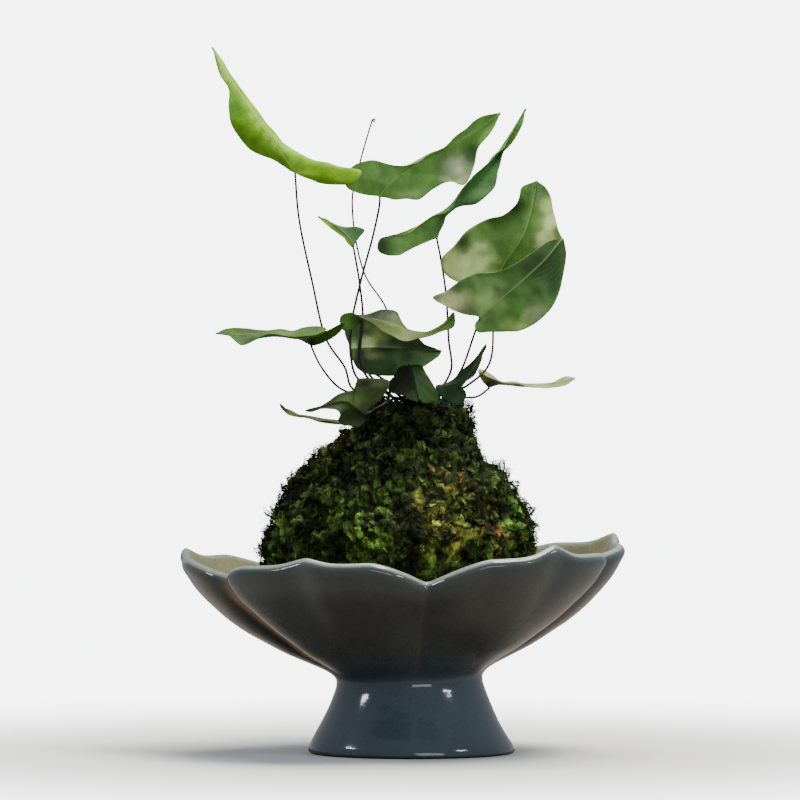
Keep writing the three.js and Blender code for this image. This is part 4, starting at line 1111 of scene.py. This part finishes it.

# Pale spots are mostly painted sheen and highlights, and dark spots mostly painted shade. The dark colours
# and weak strengths of the lower blades are painted shade too.
BLADE_LOOKS = {
    "top_left": Look(1.03, (120, 160, 54), (106, 147, 46), (150, 180, 95), [
        (-30.5, 208, 9.9, 3.2, (106, 148, 36), 0.7), (-69.5, 248.5, 2.5, 5.9, (152, 178, 88), 0.8),
        (-64.5, 232, 3.6, 3.6, (74, 118, 48), 0.75), (-58, 229.5, 1.4, 1.4, (150, 186, 88), 0.6),
        (-55.5, 226, 1.4, 1.4, (150, 186, 88), 0.7), (-52.5, 222.5, 1.5, 1.5, (150, 186, 88), 0.7),
        (-49.5, 219.5, 1.5, 1.5, (152, 188, 92), 0.7), (-46.5, 217, 1.4, 1.4, (150, 186, 88), 0.6),
    ]),
    "top_middle": Look(2.35, (85, 118, 63), (83, 116, 59), (120, 150, 85), [
        (-16, 207.5, 5.2, 3.6, (82, 112, 60), 0.7), (-17.5, 202, 6.3, 2.7, (82, 116, 48), 0.7),
        (-1.5, 200.5, 5.4, 1.8, (128, 150, 98), 0.7), (16.5, 210, 5.6, 4.6, (178, 190, 144), 0.8),
        (19, 205, 3, 2.2, (204, 212, 136), 0.75), (21.5, 214, 3.2, 4.6, (26, 52, 30), 0.88),
        (27, 225.5, 5.8, 5.8, (72, 102, 50), 0.8),
    ]),
    "tall_right": Look(1.55, (58, 91, 46), (57, 89, 50), (80, 118, 65), [
        (-1, 187, 10.4, 7.2, (98, 132, 68), 0.85), (-11, 182, 3.8, 4.4, (14, 24, 12), 0.96),
        (37, 222, 3.4, 6.1, (60, 90, 30), 0.8),
    ]),
    "upper_right": Look(0.86, (74, 107, 49), (73, 106, 46), (115, 150, 85), [
        (20.5, 175, 7.2, 7.2, (200, 214, 150), 0.87), (14.5, 176, 2.9, 2.9, (188, 196, 124), 0.75),
        (18.5, 183.5, 3, 4.2, (28, 42, 12), 0.9), (49.5, 197, 2.9, 3.4, (184, 208, 126), 0.75),
        (50.5, 191, 3.2, 3.2, (196, 212, 146), 0.78), (48.5, 185, 3.6, 3.6, (196, 210, 146), 0.78),
        (38.5, 198.5, 3, 5, (16, 40, 8), 0.95), (45.5, 203, 4, 3.8, (36, 66, 20), 0.92),
    ]),
    "lower_right": Look(2.15, (61, 86, 47), (65, 95, 51), (120, 145, 90), [
        (37, 159, 9, 5.4, (60, 92, 42), 0.7), (46, 175.5, 7.9, 9.4, (22, 40, 18), 0.92),
        (50.5, 172.5, 5, 9.9, (22, 42, 24), 0.92), (14, 161.5, 7.6, 3.6, (186, 202, 130), 0.9),
        (26.5, 162, 5.4, 4.5, (122, 146, 88), 0.75), (25.5, 169.5, 6.3, 3.1, (104, 136, 84), 0.8),
        (44.5, 157, 4, 3.8, (140, 150, 112), 0.6), (37, 153, 5.4, 2.5, (128, 146, 82), 0.8),
        (23.5, 153, 1.8, 2, (108, 142, 76), 0.7),
    ]),
    "small_middle": Look(1.5, (72, 102, 48), (64, 92, 54), (110, 145, 80), [
        (-31, 191, 4.1, 2.2, (112, 146, 14), 0.88), (-21, 187, 4.9, 2.9, (54, 80, 50), 0.8),
    ]),
    "far_left": Look(0.62, (75, 115, 45), (80, 120, 50), (130, 155, 95), [
        (-54.5, 151, 14.4, 1.8, (64, 94, 28), 0.9), (-57.5, 148, 4.3, 2.2, (52, 80, 40), 0.85),
        (-45.5, 150.5, 5.4, 1.3, (128, 152, 85), 0.7), (-31.5, 149.5, 7.9, 3.6, (90, 140, 46), 0.8),
        (-37, 147, 2, 2, (18, 28, 8), 0.95),
    ]),
    "middle": Look(0.76, (80, 108, 54), (88, 112, 54), (140, 155, 100), [
        (-23, 155, 3.8, 3.6, (140, 196, 104), 0.9), (-13, 157, 5.4, 2.4, (28, 40, 20), 0.94),
        (-8, 159, 4, 2.2, (14, 22, 12), 0.96), (-5.5, 155.5, 2.2, 2.3, (102, 113, 74), 0.85),
        (-1.5, 149.5, 5.4, 2, (124, 133, 90), 0.85), (-12, 153.5, 4.9, 2.2, (62, 70, 32), 0.85),
        (9, 152.5, 4, 2.9, (62, 84, 26), 0.88), (14.5, 156, 2, 3.2, (48, 86, 36), 0.8),
    ]),
    "shaded": Look(1.78, (46, 66, 40), (46, 66, 40), (70, 90, 55), [
        (-16, 147, 2, 2.9, (142, 155, 112), 0.75), (-21, 145, 1.4, 2.9, (132, 160, 100), 0.75),
        (-10.5, 151.5, 4.7, 3.2, (98, 110, 62), 0.75), (-14, 143, 2.9, 1.4, (120, 130, 92), 0.75),
        (5, 144, 4.3, 2, (54, 78, 40), 0.6), (-2, 143.5, 2.2, 4, (34, 45, 28), 0.75),
    ]),
    "front": Look(0.3, (54, 98, 14), (38, 48, 14), (60, 86, 34), [
        (-4.5, 133.5, 4.5, 5.6, (36, 46, 18), 0.8), (5.5, 131, 4.1, 5, (52, 96, 16), 0.8),
        (4, 136.5, 1.8, 2, (80, 118, 52), 0.75),
    ]),
    "low_left": Look(0.5, (66, 84, 46), (66, 84, 46), (100, 112, 66), [
        (-20, 128, 6.5, 3.1, (72, 98, 42), 0.7), (-18, 121.5, 5.8, 3.2, (40, 49, 31), 0.85),
        (-14, 132.5, 6.3, 1.6, (150, 158, 108), 0.65), (-17, 132.5, 3.6, 1.6, (20, 22, 14), 0.85),
    ]),
    "drooping_left": Look(1.55, (60, 66, 43), (60, 66, 42), (85, 90, 55), [
        (-42, 122, 2.5, 1.6, (98, 104, 58), 0.7),
    ]),
    "dark_right": Look(0.84, (36, 60, 38), (36, 60, 38), (76, 98, 66), [
        (12.5, 127, 3.2, 2.5, (52, 76, 52), 0.6), (18, 127, 2.2, 1.6, (50, 76, 50), 0.6),
    ]),
    "far_right": Look(1.05, (145, 150, 112), (145, 150, 112), (160, 165, 125), [
        (31.5, 134, 3.1, 1.8, (124, 132, 68), 0.8), (28, 132, 4, 1.8, (30, 34, 8), 0.95),
        (25, 136, 1.6, 1.4, (120, 124, 66), 0.7), (53.5, 133, 5.4, 2.2, (118, 130, 72), 0.85),
    ]),
}
SATURATION = 1.07
LUMINANCE = (0.2126, 0.7152, 0.0722)
SEAM = 0.12                             # over what share of a half the two halves' colours meet
SPOT_RAGGED, SPOT_GRAIN = 0.5, 4.0      # how much the edge of a spot wanders, and over how many millimetres


def leaf_paint(seen, strength):
    """The paint that shows as the colour seen: purer, as gloss washes it out, and stronger in less light."""
    lit = np.array(srgb(*seen)[:3])
    grey = lit @ LUMINANCE
    return np.append(np.clip((grey + (lit - grey) * SATURATION) * strength, 0.002, 0.9), 1)


def blade_tint(look, points, across):
    """The colour of each point of a blade, from its halves and its spots."""
    left, right = (leaf_paint(side, look.strength) for side in (look.left, look.right))
    share = soft_step(across, -SEAM, SEAM)[:, None]
    tint = right * (1 - share) + left * share
    ragged = 1 + SPOT_RAGGED * np.array([noise.noise(Vector(point) / SPOT_GRAIN) for point in points])
    for x, z, wide, high, colour, strength in look.spots:
        away = np.hypot((points[:, 0] - x) / wide, (points[:, 2] - z) / high) * ragged
        cover = strength * np.exp(-0.9 * away**3)[:, None]
        tint = tint * (1 - cover) + leaf_paint(colour, look.strength) * cover
    return tint


print("blade looks:", len(BLADE_LOOKS))

# %% The sheet of one blade
LOBE_POINTS = 3            # points of a margin that belong to its lobe
LOBE_ROWS, SIDE_ROWS = 16, 60
HALF_CELLS = 14
COLUMNS = 2 * HALF_CELLS + 1
TIP_SHARE = 0.992          # the sheet ends just short of the tip, so that its last row keeps some width


def blade_sheet(frond):
    """The middle surface of a blade: points, quads, and across and along marks for each point."""
    joint, tip = frond.midrib[0], frond.midrib[-1]
    last = LOBE_ROWS + SIDE_ROWS
    shares = [TIP_SHARE * max(0, i - LOBE_ROWS) / SIDE_ROWS for i in range(last + 1)]
    spine = through(frond.midrib, shares)
    sides = []
    for side in (frond.right, frond.left):
        margin = [joint, *side, tip]
        lobe_end = LOBE_POINTS / (len(margin) - 1)
        lobe = [lobe_end * min(i / LOBE_ROWS, 1) for i in range(last + 1)]
        sides.append(through(margin, [a + (1 - lobe_end) * share for a, share in zip(lobe, shares)]))
    points, across, along = [], [], []
    for i in range(1, last + 1):
        for j in range(-HALF_CELLS, HALF_CELLS + 1):
            margin = sides[0 if j < 0 else 1][i]
            points.append(spine[i] + (margin - spine[i]) * abs(j) / HALF_CELLS)
            across.append(j / HALF_CELLS)
            along.append(i / last)
    return np.array(points), grid_faces(last, COLUMNS), np.array(across), np.array(along)


def point_normals(points, faces):
    """The normal at each point, from the faces round it. Points that coincide share one normal."""
    quads = np.array(faces)
    corners = points[quads]
    cross = np.cross(corners[:, 2] - corners[:, 0], corners[:, 3] - corners[:, 1])
    keys, group = np.unique(np.round(points, 3), axis=0, return_inverse=True)
    group = group.ravel()
    total = np.zeros((len(keys), 3))
    for k in range(4):
        np.add.at(total, group[quads[:, k]], cross)
    normal = total[group]
    return normal / np.maximum(np.linalg.norm(normal, axis=1, keepdims=True), 1e-9)


def from_midrib(points):
    """How far each point of a blade lies from the midrib's point in its row."""
    middle = points[np.arange(len(points)) // COLUMNS * COLUMNS + HALF_CELLS]
    return np.linalg.norm(points - middle, axis=1)


# %% Both faces of one blade
BLADE_THICKNESS = 0.36
CUPPING = 0.22
GROOVE_DEPTH, GROOVE_REACH = 0.32, 0.7
WAVE_HEIGHT, WAVE_LENGTH = 1.1, 7.5
NARROW = 6.0               # a blade narrower than this to a side waves less
RIB_HEIGHT, RIB_REACH = 0.25, 0.5


def blade_body(frond):
    """Both faces of a blade and the edge between them, cupped and with a grooved midrib."""
    points, faces, across, along = blade_sheet(frond)
    normal = point_normals(points, faces)
    width, part = from_midrib(points), np.abs(across)
    full = width / np.maximum(part, 1e-6)
    arch = CUPPING * full * part * (1 - part)
    groove = GROOVE_DEPTH * hump(width, 0, GROOVE_REACH)
    waves = np.array([noise.noise(Vector(p) / WAVE_LENGTH) for p in points])
    waves = waves * WAVE_HEIGHT * part * np.minimum(full / NARROW, 1)
    points = points + normal * (arch - groove + waves)[:, None]
    half = BLADE_THICKNESS / 2 * (1 - 0.45 * part**6) + RIB_HEIGHT * hump(width, 0, RIB_REACH)
    upper, lower = points + normal * (half * 0.6)[:, None], points - normal * half[:, None]
    count = len(points)
    rows = count // COLUMNS
    solid = list(faces)
    solid += [tuple(v + count for v in reversed(face)) for face in faces]
    rim = [i * COLUMNS for i in range(rows)] + [(rows - 1) * COLUMNS + j for j in range(1, COLUMNS)]
    rim += [i * COLUMNS + COLUMNS - 1 for i in range(rows - 2, -1, -1)] + list(range(COLUMNS - 2, 0, -1))
    for a, b in zip(rim, rim[1:] + rim[:1]):
        solid.append((a, b, b + count, a + count))
    under = np.repeat([0.0, 1.0], count)
    return np.vstack([upper, lower]), solid, np.tile(across, 2), np.tile(along, 2), under


def weld(points, faces):
    """The first of the points that share each place, and the faces between them without the empty ones."""
    _, kept, group = np.unique(np.round(points, 4), axis=0, return_index=True, return_inverse=True)
    group = group.ravel()
    welded = [tuple(dict.fromkeys(int(group[v]) for v in face)) for face in faces]
    return kept, [face for face in welded if len(face) > 2]


print("points on one face of a blade:", (LOBE_ROWS + SIDE_ROWS) * COLUMNS)

# %% [markdown]
# ### Leaf finish
# A heart fern's blade is leathery: waxy but not wet. The midrib and margins are paler, faint side veins lie
# just under the surface, and the shade changes in small patches. The veins must follow the blade wherever
# it bends, so they are read from the across and along marks of each point and not from a place in the room.

# %% Blade finish
VEINS, VEIN_SLANT = 17.0, 6.5     # side veins from lobe to tip, and how far each runs forward


def blade_finish(name, roughness):
    finish, tree = material(name, Roughness=roughness, Specular_IOR_Level=0.08)
    across, along, under = (attribute(tree, layer) for layer in ("across", "along", "under"))
    tint, pale = (attribute(tree, layer, "Color") for layer in ("tint", "pale"))
    part = arithmetic(tree, "ABSOLUTE", across)
    grain = cloud(tree, object_place(tree), 160.0, 4.0)
    colour = scaled(tree, tint, window(tree, grain, 0.3, 0.7, 0.72, 1.2))
    slant = arithmetic(tree, "SUBTRACT", product(tree, along, VEINS), product(tree, part, VEIN_SLANT))
    wave = arithmetic(tree, "ABSOLUTE", arithmetic(tree, "SINE", product(tree, slant, math.pi)))
    faint = window(tree, grain, 0.4, 0.65, 0.02, 0.2)
    vein = product(tree, window(tree, wave, 0.2, 0.0), faint)
    rib = window(tree, attribute(tree, "from_rib"), 0.5, 0.1, 0.0, 0.5)
    edge = window(tree, part, 0.955, 1.0, 0.0, 0.3)
    colour = layered(tree, colour, (vein, pale), (rib, pale), (edge, pale))
    below = blend_colours(tree, 0.08, colour, pale)
    colour = blend_colours(tree, product(tree, under, 0.8), colour, below)
    cells = product(tree, grained(tree, 900.0, 3200.0), 0.5)
    return dressed(finish, colour, arithmetic(tree, "SUBTRACT", cells, vein), 0.0003, 0.8)


LEAF = blade_finish("leathery_leaf", 0.42)
YOUNG_LEAF = blade_finish("young_leaf", 0.5)

# %% Build the blades
YOUNG_BLADES = ("top_left", "small_middle")


def build_blade(frond):
    points, faces, across, along, under = blade_body(frond)
    look = BLADE_LOOKS[frond.name]
    kept, faces = weld(points, faces)
    layers = {
        "across": across, "along": along, "under": under, "from_rib": from_midrib(points),
        "tint": blade_tint(look, points, across),
        "pale": np.tile(leaf_paint(look.rib, look.strength), (len(points), 1)),
    }
    young = frond.name in YOUNG_BLADES
    made = mesh_object(
        f"fern_blade_{frond.name}", metres(points[kept]), faces, YOUNG_LEAF if young else LEAF,
        **{name: values[kept] for name, values in layers.items()},
    )
    settle(made, "young_leaf" if young else "leaf", f"blade_{frond.name}")


for frond in FRONDS:
    build_blade(frond)

# %% [markdown]
# ## The stems
# The stems are stiff and nearly black, a little thicker at the foot than under the blade. A rod along a
# smooth path does it. Plain mesh code is simpler here than a curve with a bevel object, and lets it taper.

# %% Stem paths
GOLDEN_ANGLE = 137.5
SPIRAL_STEP = 2.3
ROOT_HEIGHT, ROOTED = 124.4, 6     # where stems leave the rhizome, and how deep they stand in it
STEM_SIDES, STEM_STEPS = 12, 14
STEM_FOOT, STEM_TOP = 0.5, 0.4     # radii


def rhizome_place(place):
    """Where a frond rises from the rhizome: each one a golden angle on from the last."""
    reach = SPIRAL_STEP * math.sqrt(place + 0.5)
    around = math.radians(place * GOLDEN_ANGLE)
    return NECK_X + reach * math.cos(around), reach * math.sin(around)


def stem_path(place, stations, steps):
    """A smooth path from inside the rhizome through the stations, with steps from each to the next."""
    x, y = rhizome_place(place)
    stations = [(x, y, ROOT_HEIGHT - ROOTED), (x, y, ROOT_HEIGHT), *stations]
    return through(stations, np.linspace(0, 1, steps * (len(stations) - 1) + 1))


def rod(path, thick, thin):
    """A round rod with closed ends along points, in millimetres, from a thick radius to a thin one."""
    points = []
    forward = np.gradient(path, axis=0)
    forward /= np.linalg.norm(forward, axis=1, keepdims=True)
    side = np.cross(forward[0], (0.3, 1, 0.1))
    for centre, ahead, radius in zip(path, forward, np.linspace(thick, thin, len(path))):
        side = side - ahead * side.dot(ahead)
        side /= np.linalg.norm(side)
        up = np.cross(ahead, side)
        for k in range(STEM_SIDES):
            turn = 2 * math.pi * k / STEM_SIDES
            points.append(centre + radius * (math.cos(turn) * side + math.sin(turn) * up))
    faces = grid_faces(len(path), STEM_SIDES, closed=True)
    faces.append(tuple(range(STEM_SIDES - 1, -1, -1)))
    faces.append(tuple(len(points) - STEM_SIDES + k for k in range(STEM_SIDES)))
    return np.array(points), faces


print("the first frond rises at", [round(v, 2) for v in rhizome_place(0)])

# %% Stem finish
def wiry_stem():
    finish, tree = material("wiry_stem", Roughness=0.38)
    stretched = add(tree, "ShaderNodeMapping", {"Vector": object_place(tree), "Scale": (1, 1, 0.1)})
    streak = cloud(tree, stretched.outputs[0], 1500.0, 2.0)
    colour = blend_colours(tree, window(tree, streak, 0.35, 0.7), srgb(26, 18, 14), srgb(64, 44, 32))
    return dressed(finish, colour, streak, 0.00003)


STEM = wiry_stem()

# %% Build the stems
STEM_BITE = 0.1     # how far a stem runs into its blade


def build_stem(frond):
    joint = np.array(frond.midrib[0], float)
    leave = np.array(frond.leave, float)
    leave /= np.linalg.norm(leave)
    path = stem_path(frond.place, [*frond.via, joint - leave * STEM_BITE], STEM_STEPS)
    points, faces = rod(path, STEM_FOOT, STEM_TOP)
    made = mesh_object(f"wiry_stem_{frond.name}", metres(points), faces, STEM)
    settle(made, "stem", f"stem_{frond.name}")


for frond in FRONDS:
    build_stem(frond)

# %% [markdown]
# ## The youngest frond
# A fern leaf starts as a crozier, a tight little spiral on a stem that is already long. The spiral is a rod
# that winds inwards and thins, and its paler, hairy coil is reddish before it greens.

# %% Crozier
CROZIER_PLACE = 6
CROZIER_TURNS, CROZIER_RADIUS, COIL_POINTS = 1.2, 0.62, 14
TIGHTENING = 0.62     # the share of its radius that the coil loses on the way in
CROZIER_VIA = [
    (-0.6, 7, 128.4), (-7, 15.5, 148), (-9.2, 14, 159.8), (-17.2, 12, 172.8), (-21.5, 12, 198.7),
    (-18.6, 13, 213.1), (-14.3, 14, 228),
]


def crozier_path():
    top = np.array(CROZIER_VIA[-1])
    coil = []
    for i in range(1, COIL_POINTS + 1):
        turn = i / COIL_POINTS
        radius = CROZIER_RADIUS * (1 - TIGHTENING * turn)
        around = 2 * math.pi * CROZIER_TURNS * turn
        coil.append(top + (CROZIER_RADIUS - radius * math.cos(around), 0, radius * math.sin(around)))
    return stem_path(CROZIER_PLACE, [*CROZIER_VIA, *coil], 8)


def crozier_finish():
    finish, tree = material("crozier", Roughness=0.5)
    hairs = mottled(tree, 900.0, 0.4, (84, 58, 36), (110, 92, 56))
    colour = blend_colours(tree, attribute(tree, "youth"), srgb(30, 20, 16), hairs)
    return dressed(finish, colour, grained(tree, 1800.0, 5000.0), 0.0002)


path = crozier_path()
points, faces = rod(path, 0.4, 0.2)
youth = np.repeat(soft_step(np.linspace(0, 1, len(path)), 0.5, 0.62), STEM_SIDES)
crozier = mesh_object("crozier", metres(points), faces, crozier_finish(), youth=youth)
settle(crozier, "stem", "young_frond")

# %% [markdown]
# ## What stays from the CAD model
# The soil ball and the rhizome already have the right form and are hardly seen, so they keep their CAD
# meshes and only get a finish. It has to bring the grain that these smooth meshes lack.

# %% Soil and rhizome finishes
def earthy(name, dark, light, coarse):
    finish, tree = material(name, Roughness=0.9)
    return dressed(finish, mottled(tree, coarse, 0.4, dark, light), grained(tree, coarse, coarse * 5), 0.001)


for node, finish in (
    ("soil_ball", earthy("packed_soil", (34, 24, 16), (66, 48, 32), 260.0)),
    ("rhizome", earthy("rootstock", (24, 18, 12), (58, 42, 26), 420.0)),
):
    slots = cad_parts[node].data.materials
    slots.clear()
    slots.append(finish)
print("finished the soil and the rhizome")
